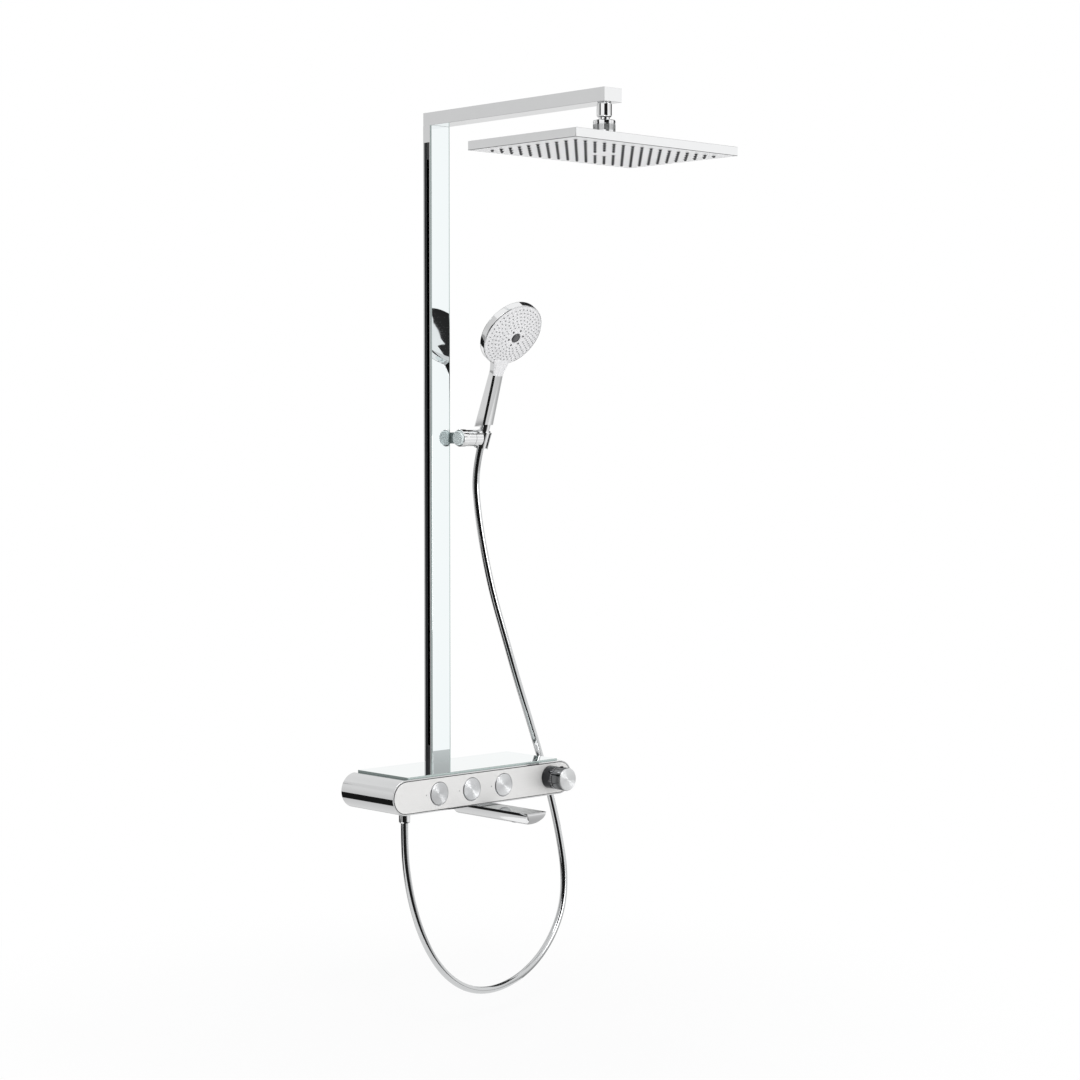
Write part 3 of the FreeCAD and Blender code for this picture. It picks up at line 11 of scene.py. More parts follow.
import bpy
from mathutils import Matrix, Vector
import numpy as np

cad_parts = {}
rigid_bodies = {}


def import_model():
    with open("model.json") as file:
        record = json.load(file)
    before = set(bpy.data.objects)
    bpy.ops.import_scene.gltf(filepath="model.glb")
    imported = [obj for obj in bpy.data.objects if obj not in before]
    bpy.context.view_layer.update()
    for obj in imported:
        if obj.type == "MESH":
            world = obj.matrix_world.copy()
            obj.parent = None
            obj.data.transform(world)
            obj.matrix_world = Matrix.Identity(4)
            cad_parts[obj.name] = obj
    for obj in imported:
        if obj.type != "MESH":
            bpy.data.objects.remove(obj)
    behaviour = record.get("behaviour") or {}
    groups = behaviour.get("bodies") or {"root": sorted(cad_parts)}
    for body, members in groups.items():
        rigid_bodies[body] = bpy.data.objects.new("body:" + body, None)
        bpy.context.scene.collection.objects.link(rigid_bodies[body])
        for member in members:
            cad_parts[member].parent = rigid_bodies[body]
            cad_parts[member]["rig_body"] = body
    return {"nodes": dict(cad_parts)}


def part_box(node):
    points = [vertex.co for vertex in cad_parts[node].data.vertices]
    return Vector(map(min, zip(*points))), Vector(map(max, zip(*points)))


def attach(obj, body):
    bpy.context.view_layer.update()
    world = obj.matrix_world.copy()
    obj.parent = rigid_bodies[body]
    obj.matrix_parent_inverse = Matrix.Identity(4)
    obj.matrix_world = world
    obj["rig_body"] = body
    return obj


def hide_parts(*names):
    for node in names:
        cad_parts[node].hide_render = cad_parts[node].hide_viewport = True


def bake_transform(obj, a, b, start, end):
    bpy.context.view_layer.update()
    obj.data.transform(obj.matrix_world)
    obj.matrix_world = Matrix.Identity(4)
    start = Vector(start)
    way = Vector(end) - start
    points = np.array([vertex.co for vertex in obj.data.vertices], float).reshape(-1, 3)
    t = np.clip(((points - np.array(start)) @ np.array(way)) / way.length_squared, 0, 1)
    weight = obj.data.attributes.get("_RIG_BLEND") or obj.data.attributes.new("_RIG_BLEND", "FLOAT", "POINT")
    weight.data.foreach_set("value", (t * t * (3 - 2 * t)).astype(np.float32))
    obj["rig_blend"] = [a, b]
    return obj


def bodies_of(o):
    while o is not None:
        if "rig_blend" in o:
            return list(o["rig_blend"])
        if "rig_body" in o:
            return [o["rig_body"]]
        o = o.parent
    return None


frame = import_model()
LOG = logging.getLogger("shower")
MM = 0.001

Piece = bpy.types.Object
Node = bpy.types.Node
Socket = bpy.types.NodeSocket
Feeds = dict[str | int, object]
Point = tuple[float, float, float]
Profile = Sequence[tuple[float, float]]

# Where a cloudy pattern counts as weak and as strong
WEAK, STRONG = 0.3, 0.7
# The radius at which a turned piece closes on its axis, in millimetres
TIP = 0.4
# How far the hand shower leans and its face turns from its handle, in degrees
LEAN, FACE_TURN = 18.4, 15.8
# Places that several sub-assemblies share, in millimetres
HOLDER_PIN = (84, -42, 615.7)
BUTTONS = {"left": -108, "middle": -32, "right": 44}


class Axis(Enum):
    """The way a turned piece's own upright axis points in the part."""

    UP = Matrix.Identity(4)
    DOWN = Matrix.Rotation(math.pi, 4, "X")
    FORWARD = Matrix.Rotation(math.pi / 2, 4, "X")
    RIGHT = Matrix.Rotation(math.pi / 2, 4, "Y")
    HANDLE = Matrix.Rotation(math.radians(LEAN), 4, "X")
    FACE = Matrix.Rotation(math.radians(90 + LEAN + FACE_TURN), 4, "X")

    def at(self, place: Point) -> Matrix:
        """The axis moved to a place in millimetres."""
        return Matrix.Translation(Vector(place) * MM) @ self.value


class Slot(Enum):
    """The record's material slots, named for new pieces but not given to them."""

    CHROME = "chrome"
    CHROMED_PLASTIC = "chromed_plastic"
    PALE_PLATE = "pale_plate"
    BRUSHED = "brushed"
    GLASS = "shelf_glass"
    ANODISED = "anodised"
    INNER_PLASTIC = "inner_plastic"
    WHITE_PLASTIC = "white_plastic"
    GREY_RUBBER = "grey_rubber"
    DARK_PLASTIC = "dark_plastic"
    HOSE = "hose"


class Paint:
    """The nodes of one material or world, with short calls for what finishes need."""

    def __init__(self, owner: bpy.types.Material | bpy.types.World) -> None:
        """Starts from the nodes that a new material or world has.

        Args:
            owner: what is painted.
        """
        owner.use_nodes = True
        self.tree = owner.node_tree
        self.shader = self.tree.nodes.get("Principled BSDF")

    def feed(self, node: Node, feeds: Feeds) -> None:
        """Links or sets a node's inputs.

        Args:
            node: the node.
            feeds: for each input, a socket to link or a value to set.
        """
        for name, value in feeds.items():
            if isinstance(value, bpy.types.NodeSocket):
                self.tree.links.new(value, node.inputs[name])
            else:
                node.inputs[name].default_value = value

    def shade(self, **feeds: object) -> None:
        """Links or sets the shader's inputs, with an underscore for each space in a name."""
        self.feed(self.shader, {name.replace("_", " "): value for name, value in feeds.items()})

    def show(self, surface: Socket, output: str = "Material Output") -> None:
        """Makes a shader what the material or world shows."""
        self.feed(self.tree.nodes[output], {"Surface": surface})

    def add(self, kind: str, feeds: Feeds | None = None, **settings: object) -> Node:
        """Adds a node.

        Args:
            kind: the shader node's kind.
            feeds: its inputs, as feed takes them.
            settings: the node's own settings by name.

        Returns:
            The new node.
        """
        made = self.tree.nodes.new("ShaderNode" + kind)
        for name, value in settings.items():
            setattr(made, name, value)
        self.feed(made, feeds or {})
        return made

    def place(self, centre: Point = (0, 0, 0), stretch: Point = (1, 1, 1)) -> Socket:
        """Object coordinates, centred and stretched.

        Args:
            centre: the point that becomes the pattern's middle, in metres.
            stretch: the scale along each axis.

        Returns:
            The coordinates.
        """
        spot = self.add("TexCoord").outputs["Object"]
        shift = [-c * s for c, s in zip(centre, stretch)]
        return self.add("Mapping", {"Vector": spot, "Location": shift, "Scale": stretch}).outputs["Vector"]

    def noise(self, where: Socket, scale: float, detail: float) -> Socket:
        """A cloudy pattern of some fineness, with finer layers in it."""
        return self.add("TexNoise", {"Vector": where, "Scale": scale, "Detail": detail}).outputs["Fac"]

    def span(self, value: Socket, low: float, high: float) -> Socket:
        """A pattern's strength carried to another range.

        Args:
            value: the pattern.
            low: what a weak pattern gives.
            high: what a strong one gives.

        Returns:
            The carried value.
        """
        feeds = {"Value": value, "From Min": WEAK, "From Max": STRONG, "To Min": low, "To Max": high}
        return self.add("MapRange", feeds).outputs["Result"]

    def ramp(self, value: Socket, stops: Sequence[tuple[float, Point]]) -> Socket:
        """A colour that follows a value.

        Args:
            value: the value, from 0 to 1.
            stops: places along it and the colour at each.

        Returns:
            The colour.
        """
        node = self.add("ValToRGB", {"Fac": value})
        marks = node.color_ramp.elements
        while len(marks) < len(stops):
            marks.new(0.5)
        for mark, (place, colour) in zip(marks, stops):
            mark.position = place
            mark.color = (*colour, 1)
        return node.outputs["Color"]

    def relief(self, height: Socket, depth: float, strength: float) -> None:
        """Lets a pattern raise the surface.

        Args:
            height: the pattern.
            depth: the relief's depth in metres.
            strength: the share of it that shows.
        """
        bump = self.add("Bump", {"Height": height, "Distance": depth, "Strength": strength})
        self.shade(Normal=bump.outputs["Normal"])

    def seen(self) -> Socket:
        """Tells rays of the camera, of gloss and of transmission from others.

        Returns:
            1 for those rays, 0 for the rest.
        """
        path = self.add("LightPath")
        total = path.outputs["Is Camera Ray"]
        for name in ("Is Glossy Ray", "Is Transmission Ray"):
            total = self.add("Math", {0: total, 1: path.outputs[name]}, operation="MAXIMUM").outputs["Value"]
        return total


@dataclass(frozen=True)
class Finish:
    """A surface finish that makes one material."""

    name: str
    colour: Point
    roughness: float = 0.3

    def material(self) -> bpy.types.Material:
        """The finish's material, made at its first use.

        Returns:
            The material.
        """
        found = bpy.data.materials.get(self.name)
        if found is not None:
            return found
        made = bpy.data.materials.new(self.name)
        paint = Paint(made)
        paint.shade(Base_Color=(*self.colour, 1), Roughness=self.roughness)
        self.work(paint)
        return made

    def vary(self, paint: Paint, pattern: Socket, dim: float, dull: float, lull: float = 0.0) -> None:
        """Lets a pattern vary tone and gloss.

        Args:
            paint: the material's nodes.
            pattern: the pattern.
            dim: the share of the colour where the pattern is weak.
            dull: how much rougher the surface is where it is strong.
            lull: how much rougher it is where it is weak.
        """
        paint.shade(Roughness=paint.span(pattern, self.roughness + lull, self.roughness + dull))
        weak = tuple(c * dim for c in self.colour)
        paint.shade(Base_Color=paint.ramp(pattern, ((WEAK, weak), (STRONG, self.colour))))

    def work(self, paint: Paint) -> None:
        """Adds what this kind of finish shows to a material's nodes."""


@dataclass(frozen=True)
class Plated(Finish):
    """Polished plating, a little cloudy as wiped metal is."""

    haze: float = 0.03
    ripple: float = 0.000003

    def work(self, paint: Paint) -> None:
        """Adds a faint haze and the slow ripple of a buffed surface.

        Args:
            paint: the material's nodes.
        """
        paint.shade(Metallic=1)
        where = paint.place()
        self.vary(paint, paint.noise(where, 38, 4), 0.985, self.haze)
        paint.relief(paint.noise(where, 55, 1), self.ripple, 0.4)


@dataclass(frozen=True)
class Spun(Finish):
    """Metal brushed in circles about one axis."""

    centre: Point = (0, 0, 0)
    across: str = "Y"
    pull: float = 0.85
    metallic: float = 1.0
    fineness: float = 5200

    def work(self, paint: Paint) -> None:
        """Adds concentric scratches and the stretched gloss that they give.

        Args:
            paint: the material's nodes.
        """
        tangent = paint.add("Tangent", direction_type="RADIAL", axis=self.across).outputs["Tangent"]
        paint.shade(Metallic=self.metallic, Anisotropic=self.pull, Anisotropic_Rotation=0.25, Tangent=tangent)
        flat = (1, 0, 1) if self.across == "Y" else (0, 1, 1)
        radius = paint.add("VectorMath", {0: paint.place(self.centre, flat)}, operation="LENGTH").outputs["Value"]
        feeds = {"W": radius, "Scale": self.fineness, "Detail": 2}
        groove = paint.add("TexNoise", feeds, noise_dimensions="1D").outputs["Fac"]
        self.vary(paint, groove, 0.86, 0.1)
        paint.relief(groove, 0.00001, 0.5)


@dataclass(frozen=True)
class Brushed(Finish):
    """Satin metal or lacquer with a long fine grain."""

    stretch: Point = (6, 300, 900)
    metallic: float = 1.0
    grain: float = 0.06

    def work(self, paint: Paint) -> None:
        """Adds straight fine grain.

        Args:
            paint: the material's nodes.
        """
        paint.shade(Metallic=self.metallic)
        grain = paint.noise(paint.place(stretch=self.stretch), 1, 4)
        self.vary(paint, grain, 0.97, self.grain)
        paint.relief(grain, 0.00001, 0.25)


@dataclass(frozen=True)
class MirrorGlass(Finish):
    """Glass silvered or lacquered at its back."""

    def work(self, paint: Paint) -> None:
        """Adds the even gloss of float glass with its slight waviness and film.

        Args:
            paint: the material's nodes.
        """
        paint.shade(Metallic=1, Coat_Weight=0.4, Coat_Roughness=0.01)
        where = paint.place()
        self.vary(paint, paint.noise(where, 9, 2), 0.992, 0.012)
        paint.relief(paint.noise(where, 14, 1), 0.000002, 0.2)


@dataclass(frozen=True)
class Moulded(Finish):
    """Moulded plastic or rubber."""

    gloss: float = 0.0
    grain: float = 1400
    depth: float = 0.00002

    def work(self, paint: Paint) -> None:
        """Adds a fine moulded grain and a slow change of tone.

        Args:
            paint: the material's nodes.
        """
        paint.shade(Coat_Weight=self.gloss, Coat_Roughness=0.08)
        where = paint.place()
        self.vary(paint, paint.noise(where, 45, 2), 0.96, 0.08)
        paint.relief(paint.noise(where, self.grain, 3), self.depth, 0.4)


@dataclass(frozen=True)
class RawMetal(Finish):
    """Machined or cast metal that nobody sees in use."""

    tooling: Point = (30, 1800, 30)

    def work(self, paint: Paint) -> None:
        """Adds casting tone and tool marks.

        Args:
            paint: the material's nodes.
        """
        paint.shade(Metallic=1)
        self.vary(paint, paint.noise(paint.place(), 70, 4), 0.8, 0.15)
        paint.relief(paint.noise(paint.place(stretch=self.tooling), 1, 2), 0.00003, 0.5)


@dataclass(frozen=True)
class HoseSkin(Finish):
    """The clear sleeve of a hose over its bright winding."""

    turns: float = 560

    def work(self, paint: Paint) -> None:
        """Adds the winding's fine ridges, which follow the hose by its own map.

        Args:
            paint: the material's nodes.
        """
        paint.shade(Metallic=1, Coat_Weight=0.5, Coat_Roughness=0.06)
        spot = paint.add("TexCoord").outputs["UV"]
        mapped = paint.add("Mapping", {"Vector": spot, "Scale": (self.turns, 1, 1)}).outputs["Vector"]
        apart = paint.add("SeparateXYZ", {"Vector": mapped}).outputs
        along = paint.add("Math", {0: apart["X"], 1: apart["Y"]}, operation="ADD").outputs["Value"]
        wave = paint.add("Math", {0: along, 1: 0.5}, operation="PINGPONG").outputs["Value"]
        feeds = {"Value": wave, "From Max": 0.5}
        height = paint.add("MapRange", feeds, interpolation_type="SMOOTHSTEP").outputs["Result"]
        self.vary(paint, height, 0.86, 0.0, 0.05)
        paint.relief(height, 0.0002, 0.06)


CHROME = Plated("polished_chrome", (0.88, 0.885, 0.89), 0.03)
SMOKED_CHROME = Plated("smoked_chrome", (0.2, 0.205, 0.21), 0.05)
SCALE_BLACK = Plated("scale_black", (0.055, 0.056, 0.06), 0.08)
BRIGHT_PLATING = Plated("plated_moulding", (0.85, 0.855, 0.86), 0.045)
# Painted shade and dim reflection: a darker copy of the chrome for the spout's flat top
PAINTED_SHADE_SPOUT_TOP = Plated("painted_shade_plating", (0.34, 0.36, 0.365), 0.06)
PALE_PLATE = Brushed("pale_satin_plate", (0.83, 0.826, 0.812), 0.32, metallic=0.15, grain=0.08)
ANODISED = Brushed("polished_profile", (0.74, 0.745, 0.75), 0.1, (300, 300, 4))
# Painted shade and dark reflection: near-black for the plate's groove walls, the column's slot and flange, and the
# lower eased edges of the arm and head
PAINTED_SHADE_AND_REFLECTION = Brushed("painted_shade_and_reflection", (0.045, 0.047, 0.05), 0.35, (300, 300, 4))
# Painted shade: grey for the plate's walls in the gaps round the buttons
PAINTED_SEAM_SHADE = Brushed("painted_grey_seam_shade", (0.45, 0.46, 0.47), 0.35, (300, 300, 4))
KNURL = Brushed("knurled_band", (0.36, 0.37, 0.37), 0.48, (900, 900, 40))
SATIN_SHOE = Brushed("satin_shoe", (0.26, 0.31, 0.31), 0.4, (300, 300, 40), metallic=0.3)
STEEL = RawMetal("plain_steel", (0.58, 0.58, 0.6), 0.3)
BRASS = RawMetal("raw_brass", (0.7, 0.53, 0.26), 0.28)
INNER_PLASTIC = Moulded("grey_inner_moulding", (0.36, 0.36, 0.38), 0.5)
BLACK_PLASTIC = Moulded("black_moulding", (0.022, 0.022, 0.024), 0.42)
WHITE_PLASTIC = Moulded("white_moulding", (0.88, 0.88, 0.885), 0.25, 0.35)
SPRAY_PLASTIC = Moulded("pale_spray_sheet", (0.89, 0.892, 0.895), 0.3, 0.3)
NOZZLE_RUBBER = Moulded("dark_nozzle_rubber", (0.042, 0.043, 0.046), 0.5)
JET_RUBBER = Moulded("grey_jet_rubber", (0.34, 0.345, 0.35), 0.55)
DARK_PLASTIC = Moulded("dark_gloss_moulding", (0.06, 0.06, 0.065), 0.22, 0.5)
MARK_INK = Moulded("grey_mark_ink", (0.3, 0.3, 0.3), 0.5)
GASKET = Moulded("gasket_rubber", (0.05, 0.05, 0.05), 0.6)
COLUMN_GLASS = MirrorGlass("column_mirror_glass", (0.9, 0.95, 0.957), 0.01)
SHELF_GLASS = MirrorGlass("shelf_mirror_glass", (0.8, 0.86, 0.858), 0.015)
GLASS_EDGE = MirrorGlass("ground_glass_edge", (0.5, 0.58, 0.565), 0.16)
# Painted shade: a darker copy of the ground edge for the shelf's ends
PAINTED_SHADE_GLASS_END = MirrorGlass("painted_shade_glass_end", (0.27, 0.32, 0.31), 0.16)
HOSE_SKIN = HoseSkin("wound_hose", (0.64, 0.65, 0.655), 0.05)


class Bench:
    """The hand tools that start and shape a mesh."""

    @staticmethod
    def clear() -> None:
        """Leaves nothing selected."""
        bpy.ops.object.select_all(action="DESELECT")

    @staticmethod
    def hold(piece: Piece) -> None:
        """Selects one piece alone.

        Args:
            piece: the piece.
        """
        Bench.clear()
        piece.select_set(True)
        bpy.context.view_layer.objects.active = piece

    @staticmethod
    def fresh(name: str) -> Piece:
        """Names the piece that was just added and leaves its place in its mesh.

        Args:
            name: the piece's name.

        Returns:
            The piece.
        """
        piece = bpy.context.object
        piece.name = piece.data.name = name
        bpy.ops.object.transform_apply(location=True, rotation=True, scale=True)
        return piece

    @staticmethod
    @contextmanager
    def editing(piece: Piece) -> Iterator[None]:
        """Opens a piece's mesh to the edit tools, all of it selected.

        Args:
            piece: the piece.

        Yields:
            Nothing, while the mesh is open.
        """
        Bench.hold(piece)
        bpy.ops.object.mode_set(mode="EDIT")
        bpy.ops.mesh.select_all(action="SELECT")
        yield
        bpy.ops.object.mode_set(mode="OBJECT")

    @staticmethod
    def settle(piece: Piece, place: Matrix) -> Piece:
        """Puts a piece in its place and leaves the place in its mesh.

        Args:
            piece: the piece, made at the origin.
            place: where it goes, in metres.

        Returns:
            The piece.
        """
        Bench.hold(piece)
        piece.matrix_world = place
        bpy.ops.object.transform_apply(location=True, rotation=True, scale=True)
        return piece

    @staticmethod
    def tidy(piece: Piece, angle: float) -> Piece:
        """Merges doubles, turns faces outward and smooths round faces.

        Args:
            piece: the piece.
            angle: the sharpest turn that is smoothed, in degrees.

        Returns:
            The piece.
        """
        with Bench.editing(piece):
            bpy.ops.mesh.remove_doubles(threshold=1e-6)
            bpy.ops.mesh.normals_make_consistent(inside=False)
        return Bench.even(piece, angle)

    @staticmethod
    def even(piece: Piece, angle: float) -> Piece:
        """Smooths round faces and keeps wide flat ones flat.

        Args:
            piece: the piece.
            angle: the sharpest turn that is smoothed, in degrees.

        Returns:
            The piece.
        """
        Bench.hold(piece)
        bpy.ops.object.shade_smooth_by_angle(angle=math.radians(angle))
        return Bench.worked(piece, "WEIGHTED_NORMAL", weight=100, keep_sharp=True)

    @staticmethod
    def worked(piece: Piece, kind: str, **settings: object) -> Piece:
        """Adds a modifier to a piece and applies it.

        Args:
            piece: the piece.
            kind: the modifier's kind.
            settings: the modifier's settings by name.

        Returns:
            The piece.
        """
        Bench.hold(piece)
        modifier = piece.modifiers.new("work", kind)
        for name, value in settings.items():
            setattr(modifier, name, value)
        bpy.ops.object.modifier_apply(modifier=modifier.name)
        return piece

    @staticmethod
    def turned(name: str, profile: Profile, place: Matrix, segments: int = 72, ring: bool = False,
               angle: float = 32) -> Piece:
        """Extrudes a circle step by step along a profile.

        Args:
            name: the piece's name.
            profile: radius and height pairs in millimetres, from one end to the other.
            place: where its foot stands and the way its upright axis points.
            segments: how many sides the circle has.
            ring: True where the last step closes on the first.
            angle: the sharpest turn that is smoothed, in degrees.

        Returns:
            The piece.
        """
        Bench.clear()
        radius, height = profile[0]
        bpy.ops.mesh.primitive_circle_add(vertices=segments, radius=radius * MM, location=(0, 0, height * MM))
        piece = Bench.fresh(name)
        extrude = bpy.ops.mesh.extrude_edges_move if ring else bpy.ops.mesh.extrude_region_move
        with Bench.editing(piece):
            if not ring:
                bpy.ops.mesh.edge_face_add()
            for wide, high in profile[1:]:
                extrude(TRANSFORM_OT_translate={"value": (0, 0, (high - height) * MM)})
                share = wide / radius
                bpy.ops.transform.resize(value=(share, share, 1), center_override=(0, 0, high * MM))
                radius, height = wide, high
            if ring:
                bpy.ops.mesh.select_all(action="DESELECT")
                bpy.ops.mesh.select_non_manifold()
                bpy.ops.mesh.bridge_edge_loops()
        return Bench.settle(Bench.tidy(piece, angle), place)

    @staticmethod
    def lofted(name: str, rings: Sequence[Sequence[Point]]) -> Piece:
        """Extrudes a ring of points from section to section and closes both ends.

        Args:
            name: the piece's name.
            rings: the sections' points in millimetres, as many in each.

        Returns:
            The piece, in its own upright frame.
        """
        Bench.clear()
        order = list(range(len(rings[0])))
        bpy.ops.mesh.primitive_circle_add(vertices=len(order), radius=1)
        piece = Bench.fresh(name)
        mesh = piece.data
        for step, ring in enumerate(rings):
            if step:
                spots = {tuple(mesh.vertices[v].co): k for k, v in enumerate(order)}
                bpy.ops.object.mode_set(mode="EDIT")
                bpy.ops.mesh.extrude_edges_move(TRANSFORM_OT_translate={"value": (0, 0, 0)})
                bpy.ops.object.mode_set(mode="OBJECT")
                order = [i for _, i in sorted((spots[tuple(v.co)], v.index) for v in mesh.vertices if v.select)]
            for vertex, point in zip(order, ring):
                mesh.vertices[vertex].co = Vector(point) * MM
        with Bench.editing(piece):
            bpy.ops.mesh.fill_holes(sides=0)
            bpy.ops.mesh.normals_make_consistent(inside=False)
        return piece

    @staticmethod
    def parted(piece: Piece, at: Point, normal: Point, drop: bool) -> Piece:
        """Cuts a piece's faces along a plane.

        Args:
            piece: the piece.
            at: a point of the plane in millimetres.
            normal: the way the plane faces.
            drop: True where what lies before the plane is taken off and the cut is closed.

        Returns:
            The piece.
        """
        with Bench.editing(piece):
            bpy.ops.mesh.bisect(plane_co=Vector(at) * MM, plane_no=normal, use_fill=drop, clear_outer=drop)
        return piece

    @staticmethod
    def carved(piece: Piece, tool: Piece, keep: str = "DIFFERENCE") -> Piece:
        """Cuts one piece by another, which is used up.

        Args:
            piece: the piece to cut.
            tool: the piece that cuts.
            keep: the boolean's kind.

        Returns:
            The cut piece.
        """
        Bench.worked(piece, "BOOLEAN", object=tool, operation=keep, solver="EXACT")
        bpy.data.objects.remove(tool)
        return piece

    @staticmethod
    def cube(name: str, ease: float, steps: int, low: Point = (-500,) * 3, high: Point = (500,) * 3) -> Piece:
        """A block with eased edges, one metre wide where no corners are given.

        Args:
            name: the piece's name.
            ease: the radius of its edges in millimetres.
            steps: how many faces round an edge.
            low: its lowest corner in millimetres.
            high: its highest corner in millimetres.

        Returns:
            The piece, with sharp shading.
        """
        Bench.clear()
        bpy.ops.mesh.primitive_cube_add(size=1, location=[(a + b) / 2 * MM for a, b in zip(low, high)])
        bpy.context.object.scale = [(b - a) * MM for a, b in zip(low, high)]
        piece = Bench.fresh(name)
        with Bench.editing(piece):
            bpy.ops.mesh.bevel(offset=ease * MM, segments=steps, affect="EDGES")
        return piece

    @staticmethod
    def slab(name: str, low: Point, high: Point, ease: float, steps: int) -> Piece:
        """A smooth block with eased edges between two corners in millimetres."""
        return Bench.tidy(Bench.cube(name, ease, steps, low, high), 40)

    @staticmethod
    def refined(name: str, node: str, ease: float, angle: float = 40, steps: int = 2) -> Piece:
        """A merged copy of a CAD node with smooth round faces and eased edges.

        Args:
            name: the piece's name.
            node: the CAD node.
            ease: the width of its eased edges in millimetres.
            angle: the sharpest turn that is smoothed, in degrees.
            steps: how many faces round an eased edge.

        Returns:
            The piece.
        """
        mesh = frame["nodes"][node].data.copy()
        mesh.name = name
        mesh.materials.clear()
        piece = bpy.data.objects.new(name, mesh)
        bpy.context.scene.collection.objects.link(piece)
        Bench.hold(piece)
        if mesh.has_custom_normals:
            bpy.ops.mesh.customdata_custom_splitnormals_clear()
        with Bench.editing(piece):
            bpy.ops.mesh.remove_doubles(threshold=2e-6)
            bpy.ops.mesh.dissolve_limited(angle_limit=math.radians(0.6))
        turn = math.radians(angle)
        Bench.worked(piece, "BEVEL", width=ease * MM, segments=steps, limit_method="ANGLE", angle_limit=turn)
        return Bench.even(piece, angle)

    @staticmethod
    def joined(name: str, pieces: Sequence[Piece]) -> Piece:
        """Joins pieces into one object.

        Args:
            name: the joined piece's name.
            pieces: what is joined.

        Returns:
            The joined piece.
        """
        Bench.hold(pieces[0])
        for piece in pieces[1:]:
            piece.select_set(True)
        bpy.ops.object.join()
        pieces[0].name = pieces[0].data.name = name
        return pieces[0]

    @staticmethod
    def copies(name: str, model: Piece, places: Sequence[Matrix]) -> Piece:
        """Copies a small piece to many places, as one object.

        Args:
            name: the group's name.
            model: the piece to copy, made at the origin.
            places: where the copies go.

        Returns:
            The group.
        """
        made = []
        for place in places:
            twin = bpy.data.objects.new(name, model.data.copy())
            twin.data.transform(place)
            bpy.context.scene.collection.objects.link(twin)
            made.append(twin)
        bpy.data.objects.remove(model)
        return Bench.joined(name, made)

    @staticmethod
    def painted(piece: Piece, finishes: Sequence[Finish], choose: Callable[[Vector, Vector], int]) -> Piece:
        """Gives each face one of several finishes.

        Args:
            piece: the piece.
            finishes: the finishes.
            choose: tells which of them a face has, from its middle in millimetres and its normal.

        Returns:
            The piece.
        """
        for finish in finishes:
            piece.data.materials.append(finish.material())
        for face in piece.data.polygons:
            face.material_index = choose(face.center / MM, face.normal)
        return piece

    @staticmethod
    def boxed(name: str, node: str) -> Piece:
        """A plated box whose lower eased edges have a painted dark reflection line."""
        piece = Bench.refined(name, node, 1.0, steps=3)
        # Faces that slope down and outward get the painted dark reflection line
        return Bench.painted(piece, (CHROME, PAINTED_SHADE_AND_REFLECTION), lambda _, normal: int(-0.95 < normal.z < -0.25))


def body_of(node: str) -> str:
    """The body that a CAD node moves with."""
    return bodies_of(frame["nodes"][node])[0]


class Assembly:
    """A sub-assembly: it makes its own pieces and dresses the CAD nodes that stay."""

    def adopt(self, piece: Piece, finish: Finish, slot: Slot, *nodes: str, body: str = "") -> None:
        """Gives a new piece its finish and its place in the part.

        Args:
            piece: the new piece.
            finish: its finish, where its faces have none yet.
            slot: the record's slot for it; not used.
            nodes: the CAD nodes that it stands for.
            body: the body that it moves with, where it stands for no node.
        """
        if not piece.data.materials:
            piece.data.materials.append(finish.material())
        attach(piece, body or body_of(nodes[0]))
        if nodes:
            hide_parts(*nodes)
        LOG.info("%s made", piece.name)

    def dress(self, finish: Finish, *nodes: str) -> None:
        """Gives CAD nodes a finish.

        Args:
            finish: the finish.
            nodes: the nodes that keep their shape.
        """
        for node in nodes:
            for slot in frame["nodes"][node].material_slots:
                slot.link = "OBJECT"
                slot.material = finish.material()
            LOG.info("%s dressed", node)


@dataclass(frozen=True)
class Card:
    """A card that only polished surfaces see, with its corners in metres."""

    name: str
    low: Point
    high: Point
    tones: Sequence[tuple[float, float]]
    along: str = "Z"
    power: float = 1.0

    def make(self) -> None:
        """Stands the card up, or lays it flat, and lights it by its tones along one axis."""
        Bench.clear()
        bpy.ops.mesh.primitive_plane_add(size=1)
        card = Bench.fresh(self.name)
        a, b = Vector(self.low), Vector(self.high)
        level = abs(b.z - a.z) < 1e-6
        across = Vector((b.x - a.x, 0 if level else b.y - a.y, 0))
        upward = Vector((0, b.y - a.y, 0)) if level else Vector((0, 0, b.z - a.z))
        rows = zip(across, upward, across.cross(upward).normalized(), (a + b) / 2)
        Bench.settle(card, Matrix([[*row] for row in rows] + [[0, 0, 0, 1]]))
        material = bpy.data.materials.new(self.name)
        paint = Paint(material)
        spot = paint.add("SeparateXYZ", {"Vector": paint.place()}).outputs[self.along]
        index = "XYZ".index(self.along)
        share = paint.add("MapRange", {"Value": spot, "From Min": a[index], "From Max": b[index]}).outputs["Result"]
        colour = paint.ramp(share, [(place, (tone,) * 3) for place, tone in self.tones])
        paint.show(paint.add("Emission", {"Color": colour, "Strength": self.power}).outputs["Emission"])
        card.data.materials.append(material)
        for kind in ("camera", "diffuse", "shadow", "transmission"):
            setattr(card, "visible_" + kind, False)


